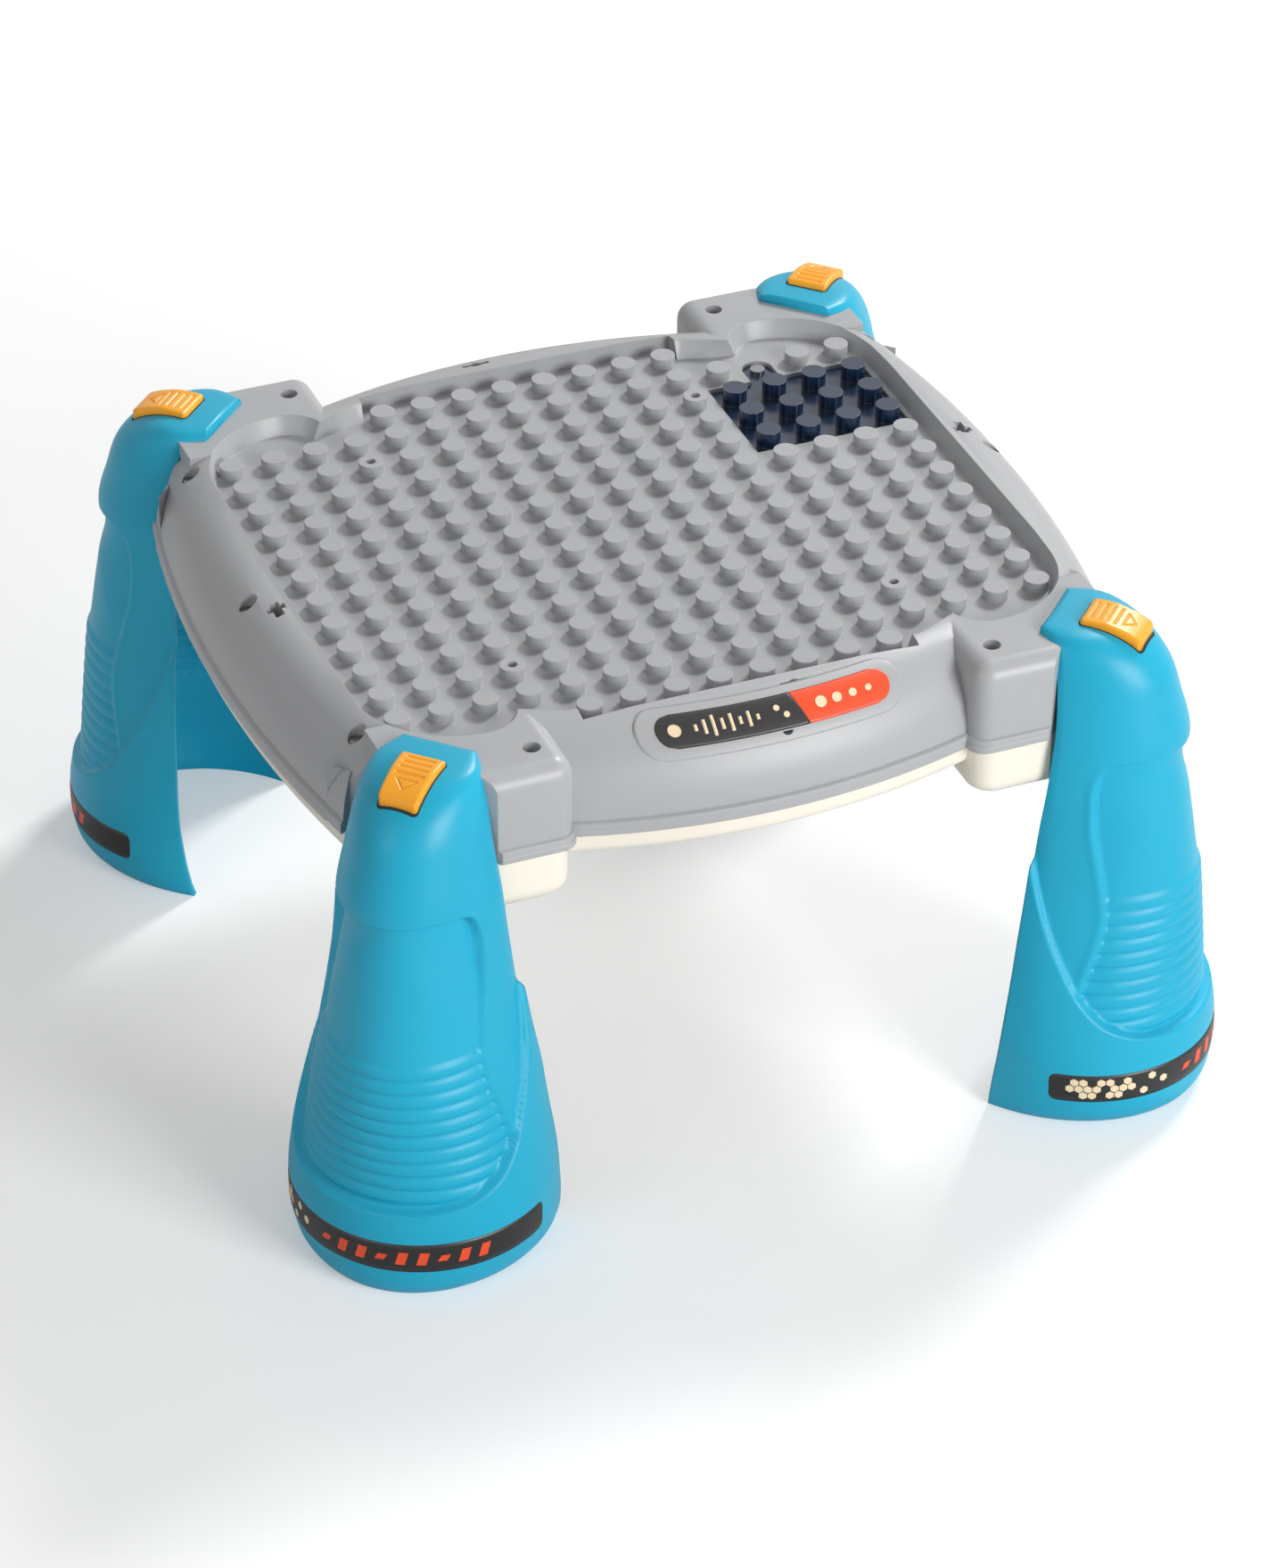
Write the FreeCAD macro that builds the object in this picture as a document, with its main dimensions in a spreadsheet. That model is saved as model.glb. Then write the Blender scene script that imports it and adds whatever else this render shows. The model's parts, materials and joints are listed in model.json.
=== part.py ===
import FreeCAD, Part
import math
import os
from FreeCAD import Placement, Rotation, Vector

# Children's activity table with a block-building top and four plug-in legs.
# Millimetres. The origin is on the floor under the middle of the table, +X runs along
# the front edge with the badge, +Y to the back and +Z up.
# Each leg is drawn once in its own frame, with +X pointing out along the table's
# diagonal, and is turned to its corner.

doc = FreeCAD.newDocument("activity_table")
sheet = doc.addObject("Spreadsheet::Sheet", "Dimensions")

# Driving dimensions
DIMENSIONS = {
    "stud_top_height": 184.6,
    "stud_pitch": 16.0,
    "stud_diameter": 9.2,
    "stud_height": 4.5,
    "stud_columns": 16,
    "stud_rows": 12,
    "end_row_columns": 8,
    "side_reach": 156.0,
    "side_bow": 12.0,
    "corner_depth": 110.0,
    "end_reach": 143.5,
    "end_bow": 12.5,
    "lobe_inner": 74.0,
    "lobe_reach": 139.0,
    "lobe_round": 7.0,
    "rim_above_studs": 2.3,
    "rim_round_side": 20.0,
    "rim_round_end": 25.5,
    "seam_drop": 32.0,
    "bead_height": 2.6,
    "bead_proud": 1.2,
    "belly_drop": 41.0,
    "lobe_drop": 53.0,
    "belly_inset": 2.6,
    "shell_wall": 2.5,
    "recess_side": 131.5,
    "recess_end": 109.0,
    "recess_slope": 3.5,
    "recess_corner_x": 95.0,
    "recess_corner_y": 75.0,
    "recess_lobe_radius": 15.0,
    "recess_jog_x": 66.0,
    "ledge_edge": 114.25,
    "chamfer_reach": 171.0,
    "tongue_reach": 189.0,
    "tongue_width": 28.0,
    "tongue_wall": 3.0,
    "tongue_bottom_drop": 50.0,
    "leg_wall": 2.5,
    "leg_gap": 0.5,
    "rib_pitch": 5.5,
    "rib_count": 10,
    "rib_height": 0.9,
    "neck_nose_depth": 1.7,
    "neck_flank_depth": 4.6,
    "skirt_step": 2.6,
    "shelf_thickness": 2.5,
    "band_height": 12.0,
    "band_centre_drop": 165.8,
    "band_thickness": 0.8,
    "band_sink": 0.3,
    "button_start": 173.2,
    "button_width": 14.0,
    "button_travel": 3.0,
    "button_tilt": 13.0,
    "button_gap": 0.4,
    "latch_width": 8.0,
    "latch_length": 4.0,
    "latch_drop": 10.2,
    "screw_head_diameter": 5.6,
    "screw_shank_diameter": 3.0,
    "stud_screw_diameter": 2.4,
    "stud_screw_head": 3.4,
    "screw_sink": 9.0,
    "screw_grip": 7.0,
    "carrier_thickness": 2.0,
    "carrier_drop": 6.0,
    "spring_thickness": 0.5,
    "standoff_height": 5.5,
    "screw_hole_diameter": 6.4,
    "cover_low_x": 65.0,
    "cover_high_x": 125.6,
    "cover_low_y": 33.0,
    "cover_high_y": 80.0,
    "cover_thickness": 1.6,
    "cover_drop": 1.5,
    "cover_gap": 0.4,
    "cover_ledge": 1.0,
    "ledge_thickness": 2.0,
    "tab_width": 11.0,
    "tab_length": 13.5,
    "cell_diameter": 14.5,
    "cell_length": 50.5,
    "cell_spacing": 14.9,
    "cell_count": 3,
    "cell_gap": 0.5,
    "box_wall": 1.5,
    "badge_length": 84.0,
    "badge_height": 13.5,
    "badge_thickness": 1.2,
    "badge_tilt": 38.0,
    "key_count": 5,
    "key_pitch": 22.0,
    "key_length": 62.0,
    "key_proud": 2.0,
    "key_flange": 1.2,
    "key_gap": 0.6,
    "key_travel": 1.6,
    "speaker_diameter": 50.0,
    "speaker_depth": 14.0,
    "board_thickness": 1.6,
    "knob_travel": 8.0,
}
for row_number, (name, number) in enumerate(DIMENSIONS.items(), start=1):
    sheet.set("A%d" % row_number, name)
    sheet.set("B%d" % row_number, str(number))
    sheet.setAlias("B%d" % row_number, name)
doc.recompute()


def size(name):
    return float(sheet.get(name))


TOP = size("stud_top_height")
WALL = size("shell_wall")
FLOOR = TOP - size("stud_height")
RIM = TOP + size("rim_above_studs")
SEAM = TOP - size("seam_drop")
BELLY = TOP - size("belly_drop")
UP = Vector(0, 0, 1)
QUARTERS = (45, 135, 225, 315)
CORNERS = {"back_right": 45, "back_left": 135, "front_left": 225, "front_right": 315}


def polygon(points, height):
    """Closed wire through plan points at one height."""
    corners = [Vector(x, y, height) for x, y in points]
    return Part.makePolygon(corners + corners[:1])


def block(low, high):
    """Box between two opposite corners."""
    span = [b - a for a, b in zip(low, high)]
    return Part.makeBox(*span, Vector(*low))


def mirrored_four(shape):
    """The shape and its copies across the two upright middle planes."""
    side = shape.mirror(Vector(0, 0, 0), Vector(1, 0, 0))
    pair = [shape, side]
    return pair + [one.mirror(Vector(0, 0, 0), Vector(0, 1, 0)) for one in pair]


def turned(shape, angle):
    """Copy of a shape turned about the table's upright axis."""
    copy = shape.copy()
    copy.rotate(Vector(0, 0, 0), UP, angle)
    return copy


def feature(label, shape):
    """Sub-part whose shape is worked out by the functions below."""
    item = doc.addObject("Part::Feature", label)
    item.Label = label
    item.Shape = shape
    return item


# Table outline

def table_wire(inset_x, inset_y, height):
    """Plan outline of the table without its lobes: bowed sides and ends."""
    side = size("side_reach") - inset_x
    side_corner = side - size("side_bow")
    depth = size("corner_depth") - inset_y / 2
    end = size("end_reach") - inset_y
    end_corner = end - size("end_bow")
    lobe = size("lobe_inner") + 4

    def at(x, y):
        return Vector(x, y, height)

    edges = [
        Part.Arc(at(side_corner, -depth), at(side, 0), at(side_corner, depth)).toShape(),
        Part.LineSegment(at(side_corner, depth), at(lobe, end_corner)).toShape(),
        Part.Arc(at(lobe, end_corner), at(0, end), at(-lobe, end_corner)).toShape(),
        Part.LineSegment(at(-lobe, end_corner), at(-side_corner, depth)).toShape(),
        Part.Arc(at(-side_corner, depth), at(-side, 0), at(-side_corner, -depth)).toShape(),
        Part.LineSegment(at(-side_corner, -depth), at(-lobe, -end_corner)).toShape(),
        Part.Arc(at(-lobe, -end_corner), at(0, -end), at(lobe, -end_corner)).toShape(),
        Part.LineSegment(at(lobe, -end_corner), at(side_corner, -depth)).toShape(),
    ]
    return Part.Wire(edges)


def table_slab(inset, low, high):
    """Straight-walled slab of the table's outline."""
    face = Part.Face(table_wire(inset, inset, low))
    return face.extrude(Vector(0, 0, high - low))


def rounded_table(low, high, round_side, round_end, inset=0.0, steps=6):
    """Table outline whose edge rounds over as a quarter ellipse towards high."""
    wires = []
    for step in range(steps + 1):
        angle = math.radians(86) * step / steps
        share = (1 - math.cos(angle)) / (1 - math.cos(math.radians(86)))
        height = low + (high - low) * math.sin(angle) / math.sin(math.radians(86))
        wires.append(table_wire(inset + round_side * share, inset + round_end * share, height))
    return Part.makeLoft(wires, True, True)


def lobe_block(inset, low, high, round_edge, round_corner):
    """One corner lobe, its outer faces upright and its edges rounded."""
    near = size("lobe_inner") + inset
    far = size("lobe_reach") - inset
    shape = block((near, far - 45, min(low, high)), (near + 60, far, max(low, high)))
    upright = [e for e in shape.Edges if e.Vertexes[0].X < near + 1 and e.Vertexes[1].X < near + 1
               and e.Vertexes[0].Y > far - 1 and e.Vertexes[1].Y > far - 1]
    shape = shape.makeFillet(round_corner, upright)
    rims = [e for e in shape.Edges if all(abs(v.Z - high) < 1e-6 for v in e.Vertexes)
            and e.CenterOfMass.x < near + 59 and e.CenterOfMass.y > far - 44]
    return shape.makeFillet(round_edge, rims)


def chamfer_tool(reach, low, high):
    """Square turned by 45 degrees: its sides are the table's cut corners."""
    points = [(reach * math.cos(math.radians(a)) * math.sqrt(2),
               reach * math.sin(math.radians(a)) * math.sqrt(2)) for a in (0, 90, 180, 270)]
    return Part.Face(polygon(points, low)).extrude(Vector(0, 0, high - low))


# Recess that holds the studs

def recess_wire(inset, height):
    """Inner edge of the rim: straight sides, round corners and pockets in the lobes."""
    side = size("recess_side") - inset
    end = size("recess_end") - inset
    cx = size("recess_corner_x")
    cy = size("recess_corner_y")
    radius = side - cx
    small = size("recess_lobe_radius") - inset
    small_y = cy + radius - small
    jog = size("recess_jog_x") - inset
    turn = math.radians(160)

    def quarter(sx, sy):
        """Points of one corner, from the side towards the end."""
        def at(x, y):
            return Vector(sx * x, sy * y, height)
        first = (at(side, cy), at(cx + radius * math.sqrt(0.5), cy + radius * math.sqrt(0.5)),
                 at(cx, cy + radius))
        middle = math.radians(125)
        second = (first[2], at(cx + small * math.cos(middle), small_y + small * math.sin(middle)),
                  at(cx + small * math.cos(turn), small_y + small * math.sin(turn)))
        return first, second, at(jog, end)

    edges = []
    quarters = [quarter(1, 1), quarter(-1, 1), quarter(-1, -1), quarter(1, -1)]
    for number, (first, second, foot) in enumerate(quarters):
        forward = number % 2 == 0
        pieces = [Part.Arc(*first).toShape(), Part.Arc(*second).toShape(),
                  Part.LineSegment(second[2], foot).toShape()]
        edges += pieces if forward else pieces[::-1]
        following = quarters[(number + 1) % 4]
        start, finish = (foot, following[2]) if forward else (first[0], following[0][0])
        edges.append(Part.LineSegment(start, finish).toShape())
    return Part.Wire(Part.__sortEdges__(edges))


def recess():
    """Space above the stud floor: sloped walls, with a ledge in front of each end rim."""
    slope = size("recess_slope")
    lid = RIM + 1
    well = Part.makeLoft([recess_wire(slope, FLOOR), recess_wire(0, lid)], True, True)
    inner = size("recess_end")
    outer = size("ledge_edge")
    half = size("recess_jog_x") - slope
    section = [(inner - 1, FLOOR + 4.3), (inner, FLOOR + 4.3), (outer, RIM - 0.6),
               (outer, lid), (inner - 1, lid)]
    wire = Part.makePolygon([Vector(-half, y, z) for y, z in section + section[:1]])
    ledge = Part.Face(wire).extrude(Vector(2 * half, 0, 0))
    return well.multiFuse([ledge, ledge.mirror(Vector(0, 0, 0), Vector(0, 1, 0))])


def stud_places():
    """Plan places of the grey studs and of the studs on the battery cover."""
    pitch = size("stud_pitch")
    columns = int(size("stud_columns"))
    rows = int(size("stud_rows"))
    half_end = int(size("end_row_columns")) / 2
    field = []
    cover = []
    for row in range(-1, rows + 1):
        for column in range(columns):
            from_middle = column - (columns - 1) / 2
            place = (from_middle * pitch, (row - (rows - 1) / 2) * pitch)
            if row in (-1, rows) and abs(from_middle) > half_end:
                continue
            on_cover = (size("cover_low_x") < place[0] < size("cover_high_x")
                        and size("cover_low_y") < place[1] < size("cover_high_y"))
            under_tab = (abs(place[0] - TAB_X) < pitch / 2
                         and 0 < place[1] - size("cover_high_y") < pitch)
            if on_cover:
                cover.append(place)
            elif not under_tab:
                field.append(place)
    return field, cover


TAB_X = 5.5 * size("stud_pitch")
COVER_TOP = FLOOR - size("cover_drop")
COVER_BOTTOM = COVER_TOP - size("cover_thickness")
RIM_SCREWS = [(85.3, 124.7), (135.1, 89.9), (143.5, 0.0)]
STUD_SCREWS = [(-4.5, 4.5), (-4.5, -4.5), (4.5, -4.5), (3.5, 4.5)]
BOSS_DIAMETER = size("screw_shank_diameter") + 5
STUD_SCREW_SINK = 5.0


def rim_screw_places():
    """Plan places of the ten screws that hold the two shells together."""
    places = []
    for x, y in RIM_SCREWS:
        for sx in (1, -1):
            for sy in ((1, -1) if y else (1,)):
                places.append((sx * x, sy * y))
    return places


def stud_screw_places():
    pitch = size("stud_pitch")
    return [(column * pitch, row * pitch) for column, row in STUD_SCREWS]


def rod(x, y, low, high, diameter):
    return Part.makeCylinder(diameter / 2, high - low, Vector(x, y, low))


def cover_outline(gap, low, high):
    """Battery cover's plate with its screw tab, grown by a gap."""
    plate = block((size("cover_low_x") - gap, size("cover_low_y") - gap, low),
                  (size("cover_high_x") + gap, size("cover_high_y") + gap, high))
    half = size("tab_width") / 2 + gap
    reach = size("cover_high_y") + size("tab_length") - size("tab_width") / 2
    tab = block((TAB_X - half, size("cover_high_y") - 2, low), (TAB_X + half, reach, high))
    nose = rod(TAB_X, reach, low, high, 2 * half)
    return plate.multiFuse([tab, nose]).removeSplitter()


# Tongues at the table's corners, which the legs plug onto

def tongue(grow, low, high):
    """One tongue, along +X of the leg's frame."""
    half = size("tongue_width") / 2 + grow
    return block((size("chamfer_reach") - 12, -half, low),
                 (size("tongue_reach") + grow, half, high))


def badge_slope(thickness, grow, shift):
    """Long rounded plate on the sloped front rim."""
    length = size("badge_length") + 2 * grow
    height = size("badge_height") + 2 * grow
    half = height / 2
    bar = Part.makeBox(length - height, height, thickness, Vector(-(length - height) / 2, -half, 0))
    ends = [Part.makeCylinder(half, thickness, Vector(s * (length - height) / 2, 0, 0))
            for s in (1, -1)]
    plate = bar.multiFuse(ends).removeSplitter()
    plate.translate(Vector(0, 0, shift))
    plate.rotate(Vector(0, 0, 0), Vector(1, 0, 0), size("badge_tilt"))
    plate.translate(badge_middle())
    return plate


def badge_middle():
    """Point of the rounded front rim where its face has the badge's tilt."""
    tall = RIM - SEAM
    wide = size("rim_round_end")
    angle = math.atan2(tall * math.cos(math.radians(size("badge_tilt"))),
                       wide * math.sin(math.radians(size("badge_tilt"))))
    reach = size("end_reach") - wide * (1 - math.cos(angle))
    return Vector(0, -reach, SEAM + tall * math.sin(angle))


def top_shell():
    bead = size("bead_proud")
    body = rounded_table(SEAM, RIM, size("rim_round_side"), size("rim_round_end"))
    lobes = mirrored_four(lobe_block(0, SEAM, RIM, size("lobe_round"), size("lobe_round")))
    band_top = SEAM + size("bead_height")
    band = table_slab(-bead, SEAM, band_top)
    lobe_bands = mirrored_four(lobe_block(-bead, SEAM, band_top, 0.8, size("lobe_round")))
    outer = body.multiFuse(lobes + [band] + lobe_bands)
    outer = outer.common(chamfer_tool(size("chamfer_reach"), SEAM - 1, RIM + 1))
    ceiling = FLOOR - WALL
    hollow = rounded_table(SEAM - 1, RIM, size("rim_round_side"), size("rim_round_end"), WALL)
    hollow = hollow.common(table_slab(0, SEAM - 2, ceiling))
    lobe_hollow = lobe_block(WALL, SEAM - 1, ceiling, 2, size("lobe_round") - WALL)
    hollow = hollow.multiFuse(mirrored_four(lobe_hollow))
    hollow = hollow.common(chamfer_tool(size("chamfer_reach") - WALL, SEAM - 2, RIM))
    shell = outer.cut(hollow)
    shell = shell.cut(recess())
    field, _ = stud_places()
    studs = [rod(x, y, FLOOR - 0.5, TOP, size("stud_diameter")) for x, y in field]
    frame_low = COVER_BOTTOM - size("ledge_thickness")
    frame = cover_outline(size("cover_gap") + WALL, frame_low, FLOOR - 0.5)
    bosses = [rod(x, y, SEAM, ceiling + 1, BOSS_DIAMETER) for x, y in rim_screw_places()]
    bosses += [rod(x, y, SEAM, ceiling + 1, BOSS_DIAMETER) for x, y in stud_screw_places()]
    bosses = [one.common(outer) for one in bosses]
    shell = shell.multiFuse(studs + [frame] + bosses)
    ledge = size("cover_ledge")
    opening = block((size("cover_low_x") + ledge, size("cover_low_y") + ledge, frame_low - 1),
                    (size("cover_high_x") - ledge, size("cover_high_y") - ledge, FLOOR))
    tools = [cover_outline(size("cover_gap"), COVER_BOTTOM - 0.1, TOP), opening,
             badge_slope(20, size("badge_thickness") * 0.25, -size("badge_thickness"))]
    for x, y in rim_screw_places():
        tools.append(rod(x, y, RIM - 9, RIM + 5, size("screw_hole_diameter")))
        tools.append(rod(x, y, SEAM - 1, RIM, size("screw_shank_diameter") + 0.3))
    for x, y in stud_screw_places():
        tools.append(rod(x, y, SEAM - 1, TOP + 1, size("stud_screw_diameter") + 0.3))
        tools.append(rod(x, y, TOP - STUD_SCREW_SINK, TOP + 1, size("stud_screw_head") + 0.2))
    tools.append(rod(TAB_X, TAB_Y, frame_low - 1, FLOOR, size("screw_shank_diameter") + 0.3))
    for turn in (0, 180):
        for shape in keyed_holes():
            tools.append(turned(shape, turn))
    return shell.cut(tools).removeSplitter()


TAB_Y = size("cover_high_y") + size("tab_length") - size("tab_width") / 2


def keyed_holes():
    """Arrow-shaped socket in the side rim and slotted socket in the end rim."""
    low = RIM - 9
    high = RIM + 4
    shaft = block((135.4, 8, low), (138.6, 16.5, high))
    bar = block((133.6, 9.6, low), (140.4, 12.6, high))
    slot = block((-18.2, 119.3, low), (-7.8, 121.5, high))
    middle = rod(-13, 120.4, low, high, 4.0)
    return [shaft.fuse(bar), slot.fuse(middle)]


def bottom_shell():
    inset = size("belly_inset")
    body = rounded_table(-SEAM, -BELLY, 6, 6, inset, 3).mirror(Vector(0, 0, 0), UP)
    lobe_low = TOP - size("lobe_drop")
    lobe = lobe_block(inset, -SEAM, -lobe_low, 9, size("lobe_round"))
    lobe = lobe.mirror(Vector(0, 0, 0), UP)
    outer = body.multiFuse(mirrored_four(lobe))
    outer = outer.common(chamfer_tool(size("chamfer_reach"), lobe_low - 1, SEAM))
    hollow = rounded_table(-SEAM - 1, -BELLY - WALL, 5, 5, inset + WALL, 3).mirror(Vector(0, 0, 0), UP)
    lobe_hollow = lobe_block(inset + WALL, -SEAM - 1, -(lobe_low + WALL), 6, size("lobe_round") - WALL)
    lobe_hollow = lobe_hollow.mirror(Vector(0, 0, 0), UP)
    hollow = hollow.multiFuse(mirrored_four(lobe_hollow))
    hollow = hollow.common(chamfer_tool(size("chamfer_reach") - WALL, lobe_low, SEAM + 2))
    shell = outer.cut(hollow)
    for angle in QUARTERS:
        low = TOP - size("tongue_bottom_drop")
        solid = turned(tongue(0, low, SEAM), angle)
        wall = size("tongue_wall")
        inside = turned(tongue(-wall, low + wall, SEAM - wall), angle)
        shell = shell.fuse(solid).cut(inside)
    bosses = []
    tools = []
    for x, y in rim_screw_places() + stud_screw_places():
        low = lobe_low if (x, y) in rim_screw_places() and abs(y) > 100 else BELLY
        bosses.append(rod(x, y, low + 1, SEAM, BOSS_DIAMETER))
        shank = "screw_shank_diameter" if (x, y) in rim_screw_places() else "stud_screw_diameter"
        tools.append(rod(x, y, SEAM - 8, SEAM + 1, size(shank) + 0.1))
    reach = size("key_count") * size("key_pitch") / 2 - 2
    for x in (-reach, reach):
        for y in (KEYS_Y - KEYS_REACH + 2, KEYS_Y + KEYS_REACH - 2):
            bosses.append(rod(x, y, BELLY + 1, BELLY + WALL + size("standoff_height"), 3.6))
    shell = shell.multiFuse(bosses)
    tools += speaker_holes()
    for number in range(int(size("key_count"))):
        tools.append(key_outline(number, size("key_gap"), BELLY - 1, BELLY + WALL + 1))
    tools.append(block((KNOB_X - 8, KNOB_Y - 1.6, BELLY - 1), (KNOB_X + 8, KNOB_Y + 1.6, BELLY + WALL + 1)))
    return shell.cut(tools).removeSplitter()


# Music side underneath

KEYS_Y = -62.0
SPEAKER_X = 0.0
SPEAKER_Y = 62.0
KNOB_X = -70.0
KNOB_Y = 62.0
KEY_WIDTH = size("key_pitch") - 2 * size("key_gap") - 1
KEYS_REACH = size("key_length") / 2 + 7


def key_outline(number, grow, low, high):
    """One piano key's outline in plan."""
    middle = (number - (size("key_count") - 1) / 2) * size("key_pitch")
    half = KEY_WIDTH / 2 + grow
    reach = size("key_length") / 2 + grow
    return block((middle - half, KEYS_Y - reach, low), (middle + half, KEYS_Y + reach, high))


def speaker_holes():
    """Rings of round holes in front of the speaker."""
    holes = [rod(SPEAKER_X, SPEAKER_Y, BELLY - 1, BELLY + WALL + 1, 3.0)]
    for ring in (1, 2, 3):
        count = 6 * ring
        for number in range(count):
            angle = 2 * math.pi * number / count
            reach = 6.0 * ring
            holes.append(rod(SPEAKER_X + reach * math.cos(angle), SPEAKER_Y + reach * math.sin(angle),
                             BELLY - 1, BELLY + WALL + 1, 3.0))
    return holes


# Leg, in its own frame: +X points out along the table's diagonal

LEG_LEVELS = {
    # drop under the stud tops: nose reach, middle of the section, half width
    "floor": (184.6, 225.0, 172.0, 43.5),
    "heel": (178.0, 228.4, 178.0, 46.5),
    "belly": (168.0, 229.4, 180.0, 47.8),
    "band": (158.0, 229.0, 180.0, 47.8),
    "brim": (148.0, 227.4, 180.0, 46.8),
    "shin": (127.0, 226.2, 178.0, 43.4),
    "calf": (111.0, 225.0, 177.0, 40.8),
    "knee": (94.0, 223.6, 175.0, 37.4),
    "thigh": (78.0, 221.0, 174.0, 34.6),
    "hip": (62.0, 217.2, 173.0, 31.6),
    "waist": (45.0, 212.8, 172.5, 29.2),
    "chest": (37.0, 213.2, 172.5, 28.2),
    "shoulder": (21.0, 209.0, 172.5, 25.2),
    "jaw": (12.0, 206.0, 172.0, 23.6),
    "cheek": (4.0, 200.6, 172.0, 22.0),
    "brow": (-1.0, 194.5, 172.0, 20.8),
    "crown": (-4.2, 186.5, 172.0, 17.8),
    "top": (-5.3, 181.0, 171.5, 14.6),
}
HOOD_EDGE = 38.0
PANEL_FULL = 86.0
HEAD_EDGE = 2.0
INNER_EDGE = [(160.6, 186.0), (164.8, 150.0), (167.3, 111.0), (168.8, 78.0), (172.2, 45.0),
              (172.8, 32.0), (171.4, 12.0), (169.0, 3.0), (161.0, -1.6), (161.0, -9.0)]


def leg_section(drop, nose, middle, half, shrink):
    """Half ellipse with flanks running back to the open side, shrunk at nose and flanks."""
    height = TOP - drop
    reach = nose - middle - shrink[0]
    width = half - shrink[1]
    back = 140.0
    ellipse = Part.Ellipse(Vector(middle, 0, height), max(reach, width), min(reach, width))
    ellipse.Axis = UP
    if reach >= width:
        ellipse.XAxis = Vector(1, 0, 0)
        arc = Part.Edge(ellipse, -math.pi / 2, math.pi / 2)
    else:
        ellipse.XAxis = Vector(0, 1, 0)
        arc = Part.Edge(ellipse, math.pi, 2 * math.pi)
    ends = [Vector(middle, -width, height), Vector(middle, width, height)]
    narrow = width * (0.45 if drop < HEAD_EDGE else 0.9)
    tail = [Vector(back, -narrow, height), Vector(back, narrow, height)]
    edges = [arc, Part.LineSegment(ends[1], tail[1]).toShape(),
             Part.LineSegment(tail[1], tail[0]).toShape(),
             Part.LineSegment(tail[0], ends[0]).toShape()]
    return Part.Wire(Part.__sortEdges__(edges))


def level_at(drop):
    """Leg section's reach, middle and half width at any drop, between the levels."""
    levels = sorted(LEG_LEVELS.values())
    for low, high in zip(levels[:-1], levels[1:]):
        if low[0] <= drop <= high[0]:
            share = (drop - low[0]) / (high[0] - low[0])
            return tuple(a + (b - a) * share for a, b in zip(low[1:], high[1:]))
    return levels[0][1:] if drop < levels[0][0] else levels[-1][1:]


def leg_form(drops, shrink):
    """Solid through the leg's sections at the given drops."""
    wires = []
    for drop in drops:
        both = shrink(drop) if callable(shrink) else (shrink, shrink)
        wires.append(leg_section(drop, *level_at(drop), both))
    return Part.makeLoft(wires, True, True)


def side_prism(points, half=70.0):
    """Plate of a side-view outline (reach, drop), running across the leg."""
    corners = [Vector(x, -half, TOP - drop) for x, drop in points]
    return Part.Face(Part.makePolygon(corners + corners[:1])).extrude(Vector(0, 2 * half, 0))


def side_curve(points):
    """Smooth side-view curve through a few points, as corner points of a prism."""
    curve = Part.BSplineCurve()
    curve.interpolate([Vector(x, drop, 0) for x, drop in points])
    return [(p.x, p.y) for p in curve.discretize(Number=4 * len(points))]


PANEL_EDGE = [(198.0, 38.0), (192.0, 41.0), (189.6, 49.0), (190.6, 64.0), (195.0, 82.0),
              (198.0, 98.0), (197.6, 108.0), (192.3, 130.0)]
SKIRT_EDGE = [(165.0, 74.0), (168.5, 81.0), (171.9, 91.0), (180.5, 110.0), (191.0, 129.0),
              (197.0, 135.0), (203.0, 140.5), (213.8, 146.8), (223.0, 148.5), (240.0, 148.8)]


def panel_depth(drop):
    """The side panels leave the hood flush and sink under the skirt's surface."""
    share = min(max((drop - HOOD_EDGE) / (PANEL_FULL - HOOD_EDGE), 0), 1)
    return size("skirt_step") * share * share * (3 - 2 * share)


def leg_outer():
    """Outside of a leg: ribbed neck, the hood with its side panels, and the skirt."""
    drops = sorted(level[0] for level in LEG_LEVELS.values())
    rib = size("rib_height")
    pitch = size("rib_pitch")
    first = 94.0
    rib_drops = []
    for number in range(int(size("rib_count"))):
        rib_drops += [first + number * pitch - pitch * 0.42, first + number * pitch]
    last = rib_drops[-1] + pitch * 0.42
    neck_drops = [HOOD_EDGE - 1, 45.0, 62.0, 78.0, rib_drops[0] - 2.0] + rib_drops + [last, last + 6]

    def neck_shrink(drop):
        raised = rib if drop in rib_drops[1::2] else 0.0
        return size("neck_nose_depth") + rib / 3 - raised, size("neck_flank_depth") + rib / 3 - raised

    neck_form = leg_form(neck_drops, neck_shrink)
    lower = side_curve(SKIRT_EDGE)
    skirt_region = side_prism(lower + [(240.0, 190.0), (130.0, 190.0), (130.0, 74.0)])
    skirt_form = leg_form([d for d in drops if d >= 62.0], 0.0).common(skirt_region)
    border = side_curve(PANEL_EDGE)
    panel_region = side_prism([(240.0, -9.0), (240.0, HOOD_EDGE)] + border
                              + [(185.0, 150.0), (130.0, 150.0), (130.0, -9.0)])
    hood_form = leg_form([d for d in drops if d <= 148.0], lambda d: (panel_depth(d), panel_depth(d)))
    hood_form = hood_form.common(panel_region)
    return neck_form.multiFuse([hood_form, skirt_form]).removeSplitter()


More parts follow.
